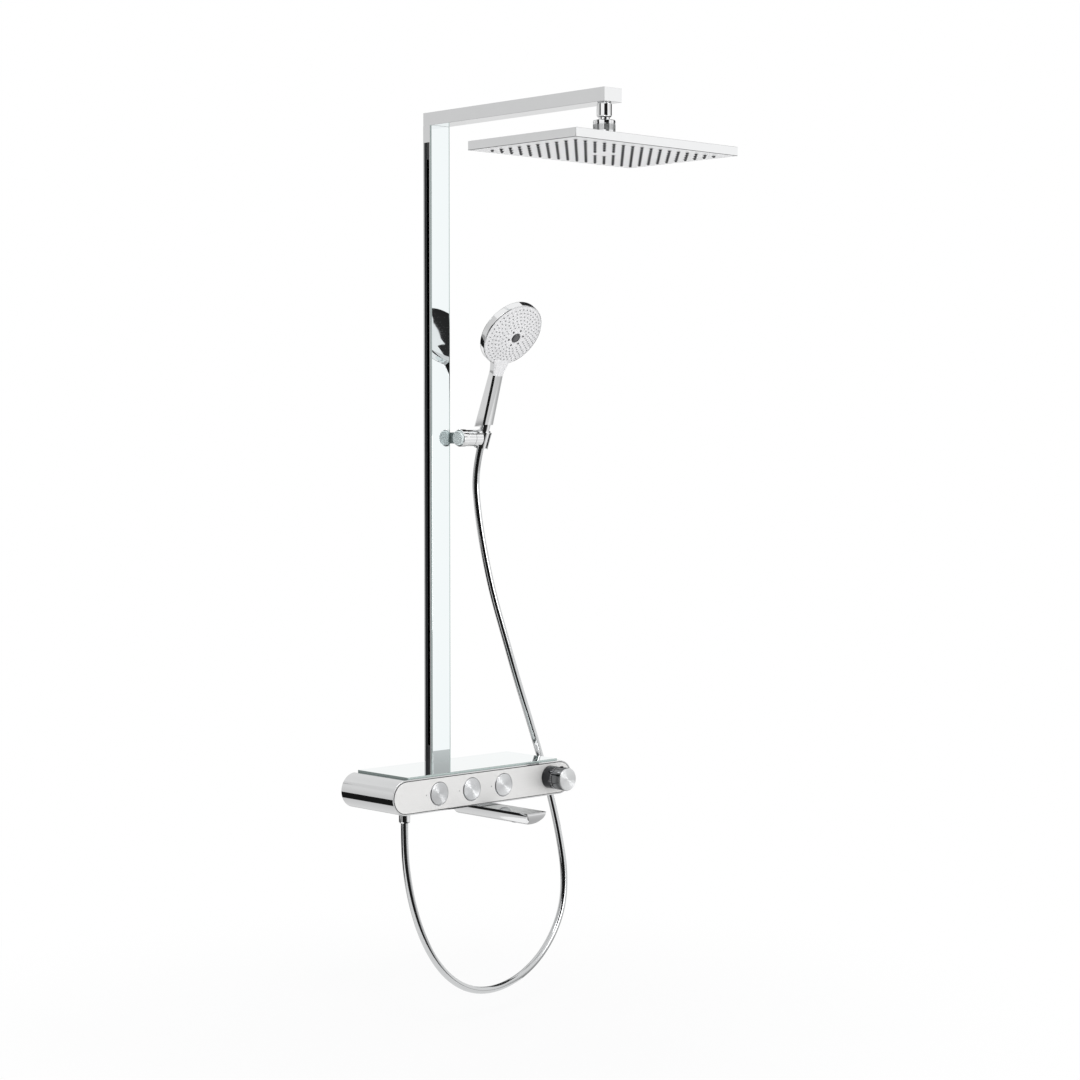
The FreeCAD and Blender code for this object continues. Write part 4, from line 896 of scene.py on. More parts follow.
CARDS = (
    Card("front_left_flag", (-3.4, 0.1, -0.42), (-1.34, -1.77, 1.3), ((0, 0.01), (1, 0.015))),
    Card("front_flag", (-1.34, -1.77, -0.42), (0.35, -3.3, 2.1), ((0, 0.01), (0.9, 0.015), (1, 0.5))),
    Card("front_floor_flag", (-2.8, -2.9, -0.42), (0.2, -0.3, -0.42), ((0, 0.01), (1, 0.02)), "X"),
    Card("back_left_screen", (-3.6, 1.0, -0.42), (-1.2, 3.4, 4.4),
         ((0, 0.6), (0.15, 0.66), (0.3, 0.72), (0.42, 0.66), (0.6, 0.7), (1, 0.7))),
    Card("back_floor_flag", (-2.8, 0.2, -0.415), (0.6, 2.6, -0.415),
         ((0, 0.66), (0.27, 0.66), (0.28, 0.01), (0.675, 0.01), (0.68, 0.6), (0.8, 0.7), (1, 0.75)), "X"),
    Card("back_top_screen", (-0.8, 1.3, 0.4), (1.25, 1.3, 1.36), ((0, 0.7), (0.6, 0.76), (1, 0.72))),
    Card("left_flag", (-3.2, 0.1, -0.42), (-3.0, 1.5, 2.1), ((0, 0.01), (1, 0.02))),
    Card("handle_side_flag", (-1.0, 1.25, 0.45), (-0.3, 1.25, 0.74), ((0, 0.36), (1, 0.36))),
    Card("far_floor_flag", (1.3, 1.3, -0.415), (3.6, 3.6, -0.415), ((0, 0.05), (1, 0.05)), "X"),
    Card("left_floor_flag", (-3.2, 0.1, -0.414), (-1.3, 1.0, -0.414), ((0, 0.01), (1, 0.02)), "X"),
    Card("far_dim_wall", (602, -799, 130.5), (687, -727, 320), ((0, 0.64), (0.05, 0.5), (0.1, 0.44), (1, 0.42))),
    Card("right_floor_screen", (0.2, -2.45, -0.415), (2.6, -1.8, -0.415), ((0, 0.75), (0.3, 0.66), (1, 0.6)), "X"),
    Card("handle_screen", (0.2, -1.8, -0.415), (4.5, 1.0, -0.415),
         ((0, 0.4), (0.125, 0.6), (0.263, 0.95), (0.372, 0.9), (0.5, 0.66), (0.63, 0.5), (1, 0.4)), "X"),
    Card("upper_right_flag", (1.6, -1.1, 1.3), (2.4, 2.3, 3.6), ((0, 0.05), (0.3, 0.02), (1, 0.03))),
    Card("back_right_flag", (1.2, 2.9, 0.85), (3.0, 1.2, 3.4), ((0, 0.1), (0.2, 0.03), (1, 0.03))),
    Card("streak_screen", (0.56, -2.26, 0.08), (1.08, -2.05, 0.62), ((0, 1), (1, 1)), power=6),
    Card("far_back_screen", (1.6, 5.4, -0.42), (5.4, 1.6, 0.62), ((0, 0.7), (1, 0.78))),
)


@dataclass
class Studio:
    """Camera, lights, backdrop and floor, in metres and degrees."""

    eye: Point = (-2.80766, -3.22075, 0.62304)
    heading: float = 43.675
    pitch: float = -2.558
    lens: float = 79.149
    sensor: float = 36
    floor_level: float = -0.43
    floor_side: float = 60
    floor_glow: float = 0.86
    glow_start: float = 0.3
    glow_end: float = 1.2
    middle: Point = (0, -0.1, 0.5)

    def build(self) -> None:
        """Sets up the whole studio."""
        bpy.context.scene.view_settings.view_transform = "Standard"
        self.camera()
        self.world()
        self.floor()
        self.lamp("key", (-1.6, -2.6, 2.6), self.middle, 1.2, 24, True)
        self.lamp("fill", (2.4, -2.2, 1.2), self.middle, 1.8, 8, False)
        self.lamp("lift", (0, -0.434, 0.98), (0, -0.434, 1.1), 0.4, 0.12, False)
        for card in CARDS:
            card.make()
        LOG.info("studio ready")

    @staticmethod
    def stand(name: str, data: bpy.types.ID, at: Point, ahead: Vector) -> Piece:
        """Sets a camera or a lamp up.

        Args:
            name: its name.
            data: the camera or the lamp.
            at: where it stands.
            ahead: the way it looks.

        Returns:
            The object.
        """
        made = bpy.data.objects.new(name, data)
        made.location = at
        made.rotation_mode = "QUATERNION"
        made.rotation_quaternion = ahead.to_track_quat("-Z", "Y")
        bpy.context.scene.collection.objects.link(made)
        return made

    def camera(self) -> None:
        """Sets the camera where the photograph was taken from."""
        yaw, nod = math.radians(self.heading), math.radians(self.pitch)
        data = bpy.data.cameras.new("camera")
        data.lens = self.lens
        data.sensor_width = self.sensor
        data.clip_end = 100
        ahead = Vector((math.sin(yaw) * math.cos(nod), math.cos(yaw) * math.cos(nod), math.sin(nod)))
        bpy.context.scene.camera = self.stand("camera", data, self.eye, ahead)

    def lamp(self, name: str, at: Point, aim: Point, size: float, power: float, mirrored: bool) -> None:
        """Adds a soft square lamp.

        Args:
            name: the lamp's name.
            at: where it stands.
            aim: what it points at.
            size: its side.
            power: its power in watts.
            mirrored: True where polished surfaces see it.
        """
        data = bpy.data.lights.new(name, "AREA")
        data.size = size
        data.energy = power
        lamp = self.stand(name, data, at, Vector(aim) - Vector(at))
        lamp.visible_glossy = mirrored
        lamp.visible_camera = False

    def world(self) -> None:
        """White for the eye and for gloss, softer for plain light."""
        world = bpy.data.worlds.new("studio")
        bpy.context.scene.world = world
        paint = Paint(world)
        light = paint.tree.nodes["Background"]
        paint.feed(light, {"Color": (0.8, 0.8, 0.81, 1)})
        bright = paint.add("Background", {"Color": (1, 1, 1, 1)})
        feeds = {"Fac": paint.seen(), 1: light.outputs["Background"], 2: bright.outputs["Background"]}
        paint.show(paint.add("MixShader", feeds).outputs["Shader"], "World Output")

    def floor(self) -> None:
        """A wide pale floor that keeps a faint shadow."""
        Bench.clear()
        bpy.ops.mesh.primitive_plane_add(size=self.floor_side, location=(0, 0, self.floor_level))
        floor = Bench.fresh("floor")
        material = bpy.data.materials.new("pale_floor")
        paint = Paint(material)
        paint.shade(Base_Color=(0.93, 0.93, 0.93, 1), Roughness=0.9)
        spot = paint.place((self.middle[0], self.middle[1], self.floor_level))
        away = paint.add("VectorMath", {0: spot}, operation="LENGTH").outputs["Value"]
        feeds = {"Value": away, "From Min": self.glow_start, "From Max": self.glow_end, "To Min": self.floor_glow}
        fade = paint.add("MapRange", feeds, interpolation_type="SMOOTHSTEP").outputs["Result"]
        share = paint.add("Math", {0: paint.seen(), 1: fade}, operation="MULTIPLY").outputs["Value"]
        glow = paint.add("Emission", {"Color": (1, 1, 1, 1)}).outputs["Emission"]
        feeds = {"Fac": share, 1: paint.shader.outputs["BSDF"], 2: glow}
        paint.show(paint.add("MixShader", feeds).outputs["Shader"])
        floor.data.materials.append(material)


@dataclass
class Hose(Assembly):
    """The hose, in four stretches that follow the slide, the holder and the hand shower."""

    diameter: float = 13
    sink: float = 18
    lead: float = 50
    route: Sequence[Point] = (
        (91, -21, 480), (103, -24, 410), (121, -29, 330), (146, -34, 252), (173, -39, 168), (202, -43, 88),
        (229, -46, 12), (248, -53, -62), (259, -62, -130), (262, -72, -194), (250, -80, -252), (219, -86, -302),
        (175, -91, -341), (122, -94.5, -367), (62, -97, -378), (4, -99.5, -370), (-47, -102, -343),
        (-88, -104, -302), (-120, -106, -250), (-143, -108, -192), (-157, -109.5, -134), (-161.5, -110, -84.5),
        (-161.5, -110, -48.5),
    )
    spline_order: int = 3
    spline_steps: int = 24
    sides: int = 20
    neck: float = 30
    bend: float = 70
    slack_start: Point = (200, -80, -62)
    slack_end: Point = (259, -80, 528)
    seam: float = 0.87

    def line(self) -> list[Vector]:
        """The hose's line from the outlet to the hand shower.

        Returns:
            Points read from the route's spline, in metres.
        """
        tilt = math.radians(LEAN)
        x, y, z = HOLDER_PIN
        drops = (self.sink, self.sink + self.lead)
        points = [(x, y + drop * math.sin(tilt), z - drop * math.cos(tilt)) for drop in drops]
        points += self.route
        curve = bpy.data.curves.new("hose_line", "CURVE")
        curve.dimensions = "3D"
        spline = curve.splines.new("NURBS")
        spline.points.add(len(points) - 1)
        for knot, point in zip(spline.points, reversed(points)):
            knot.co = (*(c * MM for c in point), 1)
        spline.order_u = self.spline_order
        spline.use_endpoint_u = True
        spline.resolution_u = self.spline_steps
        holder = bpy.data.objects.new("hose_line", curve)
        bpy.context.scene.collection.objects.link(holder)
        bpy.context.view_layer.update()
        mesh = bpy.data.meshes.new_from_object(holder)
        found = [v.co.copy() for v in mesh.vertices]
        bpy.data.meshes.remove(mesh)
        bpy.data.objects.remove(holder)
        return found

    def tube(self, name: str, line: Sequence[Vector], start: float, total: float) -> Piece:
        """A round tube along points, with a map that runs along it.

        Args:
            name: the tube's name.
            line: the points that it follows.
            start: how far along the hose it begins, in metres.
            total: the hose's whole length in metres.

        Returns:
            The tube.
        """
        radius, count = self.diameter / 2 * MM, self.sides
        verts, lengths, travelled = [], [], start
        side = Vector((0, 1, 0))
        for i, point in enumerate(line):
            ahead = (line[min(i + 1, len(line) - 1)] - line[max(i - 1, 0)]).normalized()
            side = (side - ahead * side.dot(ahead)).normalized()
            up = ahead.cross(side)
            travelled += (point - line[max(i - 1, 0)]).length
            lengths.append(travelled / total)
            turns = [2 * math.pi * k / count for k in range(count)]
            verts += [point + (side * math.cos(turn) + up * math.sin(turn)) * radius for turn in turns]
        faces, marks = [], []
        for i, (near, far) in enumerate(zip(lengths, lengths[1:])):
            for k in range(count):
                here, after = i * count + k, i * count + (k + 1) % count
                faces.append((here, after, after + count, here + count))
                low, high = k / count, (k + 1) / count
                marks += [(near, low), (near, high), (far, high), (far, low)]
        mesh = bpy.data.meshes.new(name)
        mesh.from_pydata(verts, [], faces)
        for loop, mark in zip(mesh.uv_layers.new(name="along").data, marks):
            loop.uv = mark
        piece = bpy.data.objects.new(name, mesh)
        bpy.context.scene.collection.objects.link(piece)
        with Bench.editing(piece):
            bpy.ops.mesh.normals_make_consistent(inside=False)
        bpy.ops.object.shade_smooth()
        piece.data.materials.append(HOSE_SKIN.material())
        return piece

    def build(self) -> None:
        line = self.line()
        steps = [(b - a).length for a, b in zip(line, line[1:])]
        total = sum(steps)
        left = [total - sum(steps[:i]) for i in range(len(steps))]
        low, high = (
            next(i for i, rest in enumerate(left) if rest < limit * MM) for limit in (self.neck + self.bend, self.neck)
        )
        start, end = (Vector(point) * MM for point in (self.slack_start, self.slack_end))
        pull = end - start
        shares = [(point - start).dot(pull) / pull.length_squared for point in line]
        turn = next(i for i, share in enumerate(shares) if share > self.seam)
        reach = shares[low]
        grip = shares[turn] * (1 - reach) / (1 - shares[turn])
        done = [sum(steps[:cut]) for cut in (turn, low, high)]
        main = self.tube("hose", line[: turn + 1], 0, total)
        rise = self.tube("hose_rise", line[turn: low + 1], done[0], total)
        bow = self.tube("hose_bow", line[low: high + 1], done[1], total)
        tail = self.tube("hose_tail", line[high:], done[2], total)
        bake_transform(main, "mixer", "slide", start=start, end=end)
        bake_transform(rise, "mixer", "slide", start=start + pull * grip, end=start + pull * reach)
        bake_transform(bow, "slide", "holder", start=line[low], end=line[high])
        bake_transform(tail, "holder", "hand_shower", start=line[high], end=line[-1])
        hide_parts("hose_lower", "hose_upper")
        for piece in (main, rise, bow, tail):
            LOG.info("%s made", piece.name)


@dataclass
class Housing(Assembly):
    """The mixer's tube, front plate, rear cover and glass shelf."""

    # How far from a button's middle the plate's walls get painted grey shade, in millimetres
    seam_shade_reach: float = 23

    def build(self) -> None:
        """Makes the housing's pieces."""
        tube = Bench.refined("body_tube", "body_shell", 0.5, 30)
        self.adopt(tube, CHROME, Slot.CHROME, "body_shell")
        plate = Bench.refined("button_plate", "front_plate", 0.8)
        # Painted shade: dark on the plate's edges, grey on the walls round the buttons
        Bench.painted(plate, (PALE_PLATE, PAINTED_SHADE_AND_REFLECTION, PAINTED_SEAM_SHADE), self.plate_face)
        self.adopt(plate, PALE_PLATE, Slot.PALE_PLATE, "front_plate")
        low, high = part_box("glass_shelf")
        shelf = Bench.slab("shelf", low / MM, high / MM, 0.6, 2)
        # The shelf's ends get painted shade
        Bench.painted(shelf, (SHELF_GLASS, GLASS_EDGE, PAINTED_SHADE_GLASS_END), self.shelf_face)
        self.adopt(shelf, SHELF_GLASS, Slot.GLASS, "glass_shelf")
        self.dress(INNER_PLASTIC, "rear_cover")
        self.dress(BRASS, "mixer_block", "inlet_unions", "inlet_nuts")
        self.dress(GASKET, "inlet_seals")

    def plate_face(self, spot: Vector, normal: Vector) -> int:
        """Tells the plate's pale front from its edge, which is painted dark as shade in the groove round the plate,
        and from the walls round the buttons, painted grey as shade in their gaps.

        Args:
            spot: a face's middle in millimetres.
            normal: its normal.

        Returns:
            0 for the front, 1 for the edge with painted dark shade, 2 for a button wall with painted grey shade.
        """
        if normal.y < -0.95:
            return 0
        return 2 if min(math.hypot(spot.x - x, spot.z) for x in BUTTONS.values()) < self.seam_shade_reach else 1

    @staticmethod
    def shelf_face(_: Vector, normal: Vector) -> int:
        """0 for the shelf's top and foot, 2 for its ends, darkened with painted shade, 1 for its other edges."""
        return 0 if abs(normal.z) > 0.9 else 2 if abs(normal.x) > 0.6 else 1


@dataclass
class Controls(Assembly):
    """Push buttons, temperature knob and what they work on."""

    button_r: float = 20.0
    button_back: float = 5.1
    button_proud: float = 0.9
    mark_gap: float = 9.5
    plate_front: float = 140.5
    knob: Point = (157.5, 0, 3)
    knob_r: float = 20.8
    bore_r: float = 5.06
    stem_r: float = 9.9
    stem_back: float = 131
    barrel_run: float = 26
    barrel_gap: float = 0.4
    grip_run: float = 19.5
    groove_pitch: float = 2.2
    grooves: int = 3
    ticks: int = 31
    tick_turn: float = 10
    tick_start: float = 30
    tick_group: int = 5
    tick_long: float = 7
    tick_short: float = 4

    def build(self) -> None:
        """Makes buttons and knob."""
        for side, x in BUTTONS.items():
            self.button(side, x)
        self.scale_barrel()
        self.grip()
        self.dress(INNER_PLASTIC, "valve_cartridges", "thermostat_cartridge")
        self.dress(INNER_PLASTIC, *("button_stem_" + side for side in BUTTONS))
        self.dress(STEEL, "button_springs")
        self.dress(BRASS, "knob_spindle")
        self.dress(BLACK_PLASTIC, "safety_button")

    def button(self, side: str, x: float) -> None:
        """Makes one push button with its dished face and bright rim, and the dot beside it.

        Args:
            side: which button it is.
            x: where it is, in millimetres.
        """
        r, front = self.button_r, self.plate_front + self.button_proud
        profile = [
            (r, self.plate_front - self.button_back), (r, front - 1.0), (r - 0.3, front - 0.45),
            (r - 0.9, front - 0.08), (r - 1.4, front), (r - 2.0, front - 0.06), (r * 0.7, front - 0.1),
            (r * 0.35, front - 0.12), (TIP, front - 0.12),
        ]
        piece = Bench.turned("button_" + side, profile, Axis.FORWARD.at((x, 0, 0)), 96)
        spun = Spun("spun_button_" + side, (0.8, 0.81, 0.82), 0.24, centre=(x * MM, 0, 0))
        self.adopt(piece, spun, Slot.BRUSHED, "button_cap_" + side)
        place = Axis.FORWARD.at((x - r - self.mark_gap, -self.plate_front + 0.02, 0))
        dot = Bench.turned("mark_" + side, [(1.1, 0), (1.1, 0.08), (0.9, 0.14)], place, 20)
        self.adopt(dot, MARK_INK, Slot.DARK_PLASTIC, body="mixer")

    def scale_barrel(self) -> None:
        """Makes the fixed barrel with its fine scale."""
        r, bore, start = self.knob_r - 0.3, self.bore_r, self.plate_front
        end = start + self.barrel_run
        profile = [
            (bore, self.stem_back), (self.stem_r, self.stem_back), (self.stem_r, start), (r - 0.4, start),
            (r, start + 0.5), (r, end - 0.6), (r - 0.5, end), (bore, end),
        ]
        place = Axis.FORWARD.at(self.knob)
        barrel = Bench.turned("scale_barrel", profile, place, 96, ring=True)
        self.adopt(barrel, SCALE_BLACK, Slot.CHROME, "knob_base")
        places = []
        for k in range(self.ticks):
            long = self.tick_short if k % self.tick_group else self.tick_long
            size = Matrix.Diagonal((0.5 * MM, 0.16 * MM, long * MM, 1))
            stand = Matrix.Translation((0, -(r - 0.02) * MM, (end - 1 - long / 2) * MM))
            turn = Matrix.Rotation(math.radians(self.tick_start + self.tick_turn * k), 4, "Z")
            places.append(place @ turn @ stand @ size)
        ticks = Bench.copies("scale_ticks", Bench.cube("tick", 120, 1), places)
        self.adopt(ticks, WHITE_PLASTIC, Slot.WHITE_PLASTIC, body="mixer")

    def grip(self) -> None:
        """Makes the turning grip and its spun end disc."""
        r, bore, start = self.knob_r, self.bore_r, self.plate_front + self.barrel_run + self.barrel_gap
        end = start + self.grip_run
        profile = [(bore, start), (r - 0.5, start), (r, start + 0.5)]
        for groove in range(self.grooves):
            at = start + 11 + self.groove_pitch * groove
            profile += [(r, at), (r - 0.35, at + 0.35), (r - 0.35, at + 0.75), (r, at + 1.1)]
        profile += [(r, end - 0.5), (r - 0.5, end), (bore, end)]
        place = Axis.FORWARD.at(self.knob)
        sleeve = Bench.turned("knob_sleeve", profile, place, 96, ring=True)
        self.adopt(sleeve, SMOKED_CHROME, Slot.CHROME, "knob_grip")
        profile = [
            (r - 0.4, end), (r - 0.4, end + 0.7), (r - 0.8, end + 1.25), (r - 1.4, end + 1.5), (r * 0.6, end + 1.46),
            (TIP, end + 1.4),
        ]
        disc = Bench.turned("knob_disc", profile, place, 96)
        x, _, z = self.knob
        spun = Spun("spun_knob_disc", (0.82, 0.83, 0.835), 0.24, centre=(x * MM, 0, z * MM))
        self.adopt(disc, spun, Slot.BRUSHED, "knob_face")


@dataclass
class Outlets(Assembly):
    """The bath spout with its aerator, and the hose outlet with its nut."""

    spout: Point = (1, -223, -53)
    half_width: float = 22.5
    top: float = -30.5
    back: float = 62
    nose: float = 271
    nose_cut: float = 22
    lip: float = 2
    soft_edge: float = 6
    root_depth: float = 8
    root_run: float = 14
    belly_steps: int = 64
    nose_steps: int = 16
    pipe: Point = (1, -88, 0)
    pipe_r: float = 10
    seat_r: float = 11.1
    bar_pitch: float = 2
    bar_half: float = 0.25
    bar_reach: float = 9.4
    outlet: Point = (-161.5, -110, 0)
    nut_r: float = 10
    nut_top: float = -30.9
    nut_foot: float = -48.4

    def build(self) -> None:
        """Makes spout, aerator and nut."""
        self.blade()
        self.aerator()
        r, top, foot, hole, thread = self.nut_r, self.nut_top, self.nut_foot, 6.6, 7.75
        profile = [
            (hole, foot), (r - 1.4, foot), (r - 0.8, foot + 0.3), (r - 0.1, foot + 2.2), (r, foot + 2.8),
            (r, top - 3.7), (r - 0.4, top - 3.3), (r - 0.4, top - 2.7), (r, top - 2.3), (r, top - 0.5),
            (r - 0.5, top), (thread, top), (thread, top - 8.5), (hole, top - 8.5),
        ]
        nut = Bench.turned("outlet_nut", profile, Axis.UP.at(self.outlet), ring=True)
        self.adopt(nut, CHROME, Slot.CHROME, "hose_nut_lower")
        self.dress(BRASS, "hose_outlet")

    def eased(self, round_depth: float, flat_depth: float) -> float:
        """The spout's depth where its round belly meets its nose, with a soft edge.

        Args:
            round_depth: the depth of the half-round belly.
            flat_depth: the depth that the nose leaves.

        Returns:
            The smaller depth, eased where both are near, in millimetres.
        """
        ease = max(1e-6, min(self.soft_edge, self.half_width - flat_depth))
        overlap = max(0.0, ease - abs(round_depth - flat_depth))
        return max(0.0, min(round_depth, flat_depth) - overlap ** 2 / (4 * ease))

    def blade(self) -> None:
        """Makes the half-round spout, its nose that flattens to a lip, and the seat of its aerator."""
        x, r, run, lip = self.spout[0], self.half_width, self.root_run, self.lip
        bend = self.nose - self.nose_cut
        arc = [math.pi * k / self.belly_steps for k in range(self.belly_steps + 1)]
        quarter = [math.pi / 2 * k / self.nose_steps for k in range(1, self.nose_steps + 1)]
        stations = [(self.back, self.root_depth), (self.back + run, r), (bend - run, r), (bend, r)]
        stations += [(bend + self.nose_cut * math.sin(turn), lip + (r - lip) * math.cos(turn)) for turn in quarter]
        piece = Bench.lofted("bath_spout", [
            [(x + r * math.cos(a), -along, self.top - self.eased(r * math.sin(a), deep)) for a in arc]
            for along, deep in stations
        ])
        seat = [(self.seat_r, -1), (self.seat_r, 12)]
        Bench.carved(piece, Bench.turned("aerator_seat", seat, Axis.UP.at(self.spout), 64))
        root = [(self.pipe_r, self.top - 0.1), (self.pipe_r, -10)]
        pipe = Bench.turned("spout_pipe", root, Axis.UP.at(self.pipe), 48)
        Bench.even(piece, 30)
        # The flat top gets painted shade and dim reflection
        Bench.painted(piece, (CHROME, PAINTED_SHADE_SPOUT_TOP), lambda _, normal: int(normal.z > 0.9))
        self.adopt(Bench.joined("bath_spout", [piece, pipe]), CHROME, Slot.CHROME, "spout")

    def aerator(self) -> None:
        """Makes the aerator's ring and its grid of bars."""
        x, y, z = self.spout
        profile = [(9.2, 2.2), (9.6, 1.6), (10.6, 1.6), (10.95, 2), (10.95, 11.9), (9.2, 11.9)]
        parts = [Bench.turned("aerator_ring", profile, Axis.UP.at(self.spout), 64, ring=True)]
        half = self.bar_half
        for k in range(-4, 5):
            off = self.bar_pitch * k
            reach = math.sqrt(self.bar_reach ** 2 - off ** 2)
            for wide, deep, at, foot in ((half, reach, (x + off, y), 2.6), (reach, half, (x, y + off), 2.8)):
                low = (at[0] - wide, at[1] - deep, z + foot)
                high = (at[0] + wide, at[1] + deep, z + 6)
                parts.append(Bench.slab("bar", low, high, 0.1, 1))
        self.adopt(Bench.joined("aerator", parts), INNER_PLASTIC, Slot.INNER_PLASTIC, "spout_aerator")


@dataclass
class Column(Assembly):
    """The slotted column with its mirror glass, end pieces and riser."""

    slot_reach: float = 21.2
    slot_front: float = -18.2
    slot_rear: float = -7.5
    flange_front: float = -11
    flange_rear: float = -4.5
    edge_line: float = 2.2

    def build(self) -> None:
        """Makes the column's pieces, with the thin line of the glass's ground edge on its right."""
        rail = Bench.refined("column_rail", "column_profile", 0.25)
        Bench.even(Bench.parted(rail, (0, self.flange_rear, 0), (0, 1, 0), False), 40)
        # Painted shade in the slot and on the flange behind it
        Bench.painted(rail, (ANODISED, PAINTED_SHADE_AND_REFLECTION), self.rail_face)
        self.adopt(rail, ANODISED, Slot.ANODISED, "column_profile")
        low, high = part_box("column_glass")
        glass = Bench.slab("column_mirror", low / MM, high / MM, 0.5, 2)
        line = high.x / MM - self.edge_line
        Bench.even(Bench.parted(glass, (line, 0, 0), (1, 0, 0), False), 40)
        Bench.painted(
            glass, (COLUMN_GLASS, GLASS_EDGE), lambda spot, normal: 0 if abs(normal.y) > 0.9 and spot.x < line else 1
        )
        self.adopt(glass, COLUMN_GLASS, Slot.GLASS, "column_glass")
        self.adopt(Bench.refined("column_top", "column_cap", 0.4), CHROME, Slot.CHROME, "column_cap")
        self.dress(BLACK_PLASTIC, "slot_end_blocks")
        self.dress(BRASS, "riser_pipe")
        self.dress(STEEL, "wall_bracket")

    def rail_face(self, spot: Vector, normal: Vector) -> int:
        """Tells the profile's slots and the flange behind them, which are painted dark as shade, from its bright
        faces.

        Args:
            spot: a face's middle in millimetres.
            normal: its normal.

        Returns:
            1 where the profile has painted shade, 0 elsewhere.
        """
        slot = abs(spot.x) < self.slot_reach and self.slot_front < spot.y < self.slot_rear
        behind = abs(normal.x) > 0.9 and self.flange_front < spot.y < self.flange_rear
        return int(behind or slot and abs(normal.z) < 0.5)


@dataclass
class Arm(Assembly):
    """The square arm and the ball joint under it."""

    joint: Point = (0, -434, 1127)
    ball: float = 11
    bore: float = 3.4
    shaft: float = 6.5
    barrel: float = 12.5
    barrel_top: float = 42.95
    hollow: float = 13.1
    hollow_rim: float = -2.4
    hollow_end: float = 70
    post: float = 15.3
    post_bore: float = 4
    foot: float = 21
    foot_level: float = -24.65
    collar_r: float = 18.5
    collar_bore: float = 15.4
    ribs: int = 90

    def build(self) -> None:
        """Makes the arm and the ball joint's pieces."""
        self.adopt(Bench.boxed("arm_tube", "arm_shell"), CHROME, Slot.CHROME, "arm_shell")
        self.stud()
        self.collar()
        self.socket()
        self.dress(BRASS, "arm_pipe", "arm_elbow", "arm_outlet")
        self.dress(INNER_PLASTIC, "ball_seat")

    @staticmethod
    def arc(radius: float, start: float, end: float, steps: int) -> list[tuple[float, float]]:
        """A round part of a profile, between two angles."""
        turns = [start + (end - start) * k / steps for k in range(steps + 1)]
        return [(radius * math.cos(turn), radius * math.sin(turn)) for turn in turns]

    def stud(self) -> None:
        """Makes the ball stud: barrel, necked shaft and ball, bored through for the water."""
        low = -math.acos(self.bore / self.ball)
        high = math.acos(self.shaft / self.ball)
        r, top = self.barrel, self.barrel_top
        profile = self.arc(self.ball, low, high, 24)
        profile += [(self.shaft, 10), (8.7, 12.4), (9, 13.2), (9, 18.6), (9.4, 19), (r - 1.9, 19), (r - 0.9, 19.7)]
        profile += [(r - 0.2, 20.6), (r, 21.4), (r, 40.6), (r - 0.3, 41.6), (r - 1.1, 42.5), (r - 1.9, top)]
        profile += [(self.bore, top)]
        piece = Bench.turned("ball_pin", profile, Axis.UP.at(self.joint), 64, ring=True)
        self.adopt(piece, CHROME, Slot.CHROME, "ball_stud")

    def socket(self) -> None:
        """Makes the socket that carries the overhead shower, hollowed for the ball's seat."""
        start = math.asin(self.hollow_rim / self.hollow)
        hole, r, foot, level = self.post_bore, self.post, self.foot, self.foot_level
        profile = self.arc(self.hollow, start, -math.radians(self.hollow_end), 12)
        profile += [(hole, -16), (hole, level), (foot - 0.4, level), (foot, -24.2), (foot, -21.2), (foot - 0.5, -20.7)]
        profile += [(r + 1.1, -19.6), (r + 0.3, -19.2), (r, -18.6), (r, self.hollow_rim)]
        piece = Bench.turned("socket_post", profile, Axis.UP.at(self.joint), 64, ring=True)
        self.adopt(piece, CHROME, Slot.CHROME, "head_socket")

    def collar(self) -> None:
        """Makes the union collar with its gripped band."""
        r, hole, place = self.collar_r, self.collar_bore, Axis.UP.at(self.joint)
        profile = [
            (hole, -9), (r - 0.4, -9), (r, -8.6), (r, -5.2), (r - 0.6, -4.8), (r - 0.6, -4.2), (r, -3.8), (r, 8),
            (r - 0.5, 8.4), (r - 0.5, 9.2), (r, 9.6), (r, 13), (r - 1, 14), (12.6, 14), (10.5, 5.4), (11.7, 2),
            (11.7, -2.05), (hole, -2.05),
        ]
        collar = Bench.turned("joint_collar", profile, place, 96, ring=True)
        self.adopt(collar, CHROME, Slot.CHROME, "union_collar")
        size = Matrix.Translation(((r - 0.05) * MM, 0, 2 * MM)) @ Matrix.Diagonal((0.5 * MM, 0.62 * MM, 10.5 * MM, 1))
        places = [place @ Matrix.Rotation(2 * math.pi * k / self.ribs, 4, "Z") @ size for k in range(self.ribs)]
        band = Bench.copies("collar_grip", Bench.cube("rib", 200, 2), places)
        self.adopt(band, KNURL, Slot.CHROME, body="head")


@dataclass
class OverheadShower(Assembly):
    """The flat overhead shower with its rows of soft nozzles."""

    centre: Point = (0, -434, 1087.1)
    columns: int = 16
    rows: int = 10
    pitch: float = 21.6

    def build(self) -> None:
        """Makes shell, spray plate and nozzles."""
        self.adopt(Bench.boxed("shower_tray", "head_shell"), CHROME, Slot.CHROME, "head_shell")
        sheet = Bench.refined("spray_sheet", "spray_plate", 0.3)
        self.adopt(sheet, SPRAY_PLASTIC, Slot.WHITE_PLASTIC, "spray_plate")
        self.nozzles()

    def nozzles(self) -> None:
        """Makes each soft nozzle with its root ring, cone and mouth, but none at the plate's middle."""
        profile = [(3.9, 0), (3.9, 0.15), (2.9, 0.3), (2.45, 0.75), (2.0, 2.5), (1.7, 2.75), (1.1, 2.7), (0.8, 1.6)]
        tip = Bench.turned("nozzle", profile, Axis.DOWN.value, 10, angle=40)
        places = []
        for i in range(self.columns):
            for j in range(self.rows):
                across, along = i - (self.columns - 1) / 2, j - (self.rows - 1) / 2
                if max(abs(across), abs(along)) > 1:
                    spot = Vector(self.centre) + Vector((across, along, 0)) * self.pitch
                    places.append(Matrix.Translation(spot * MM))
        self.adopt(Bench.copies("spray_nozzles", tip, places), NOZZLE_RUBBER, Slot.GREY_RUBBER, "head_nozzles")


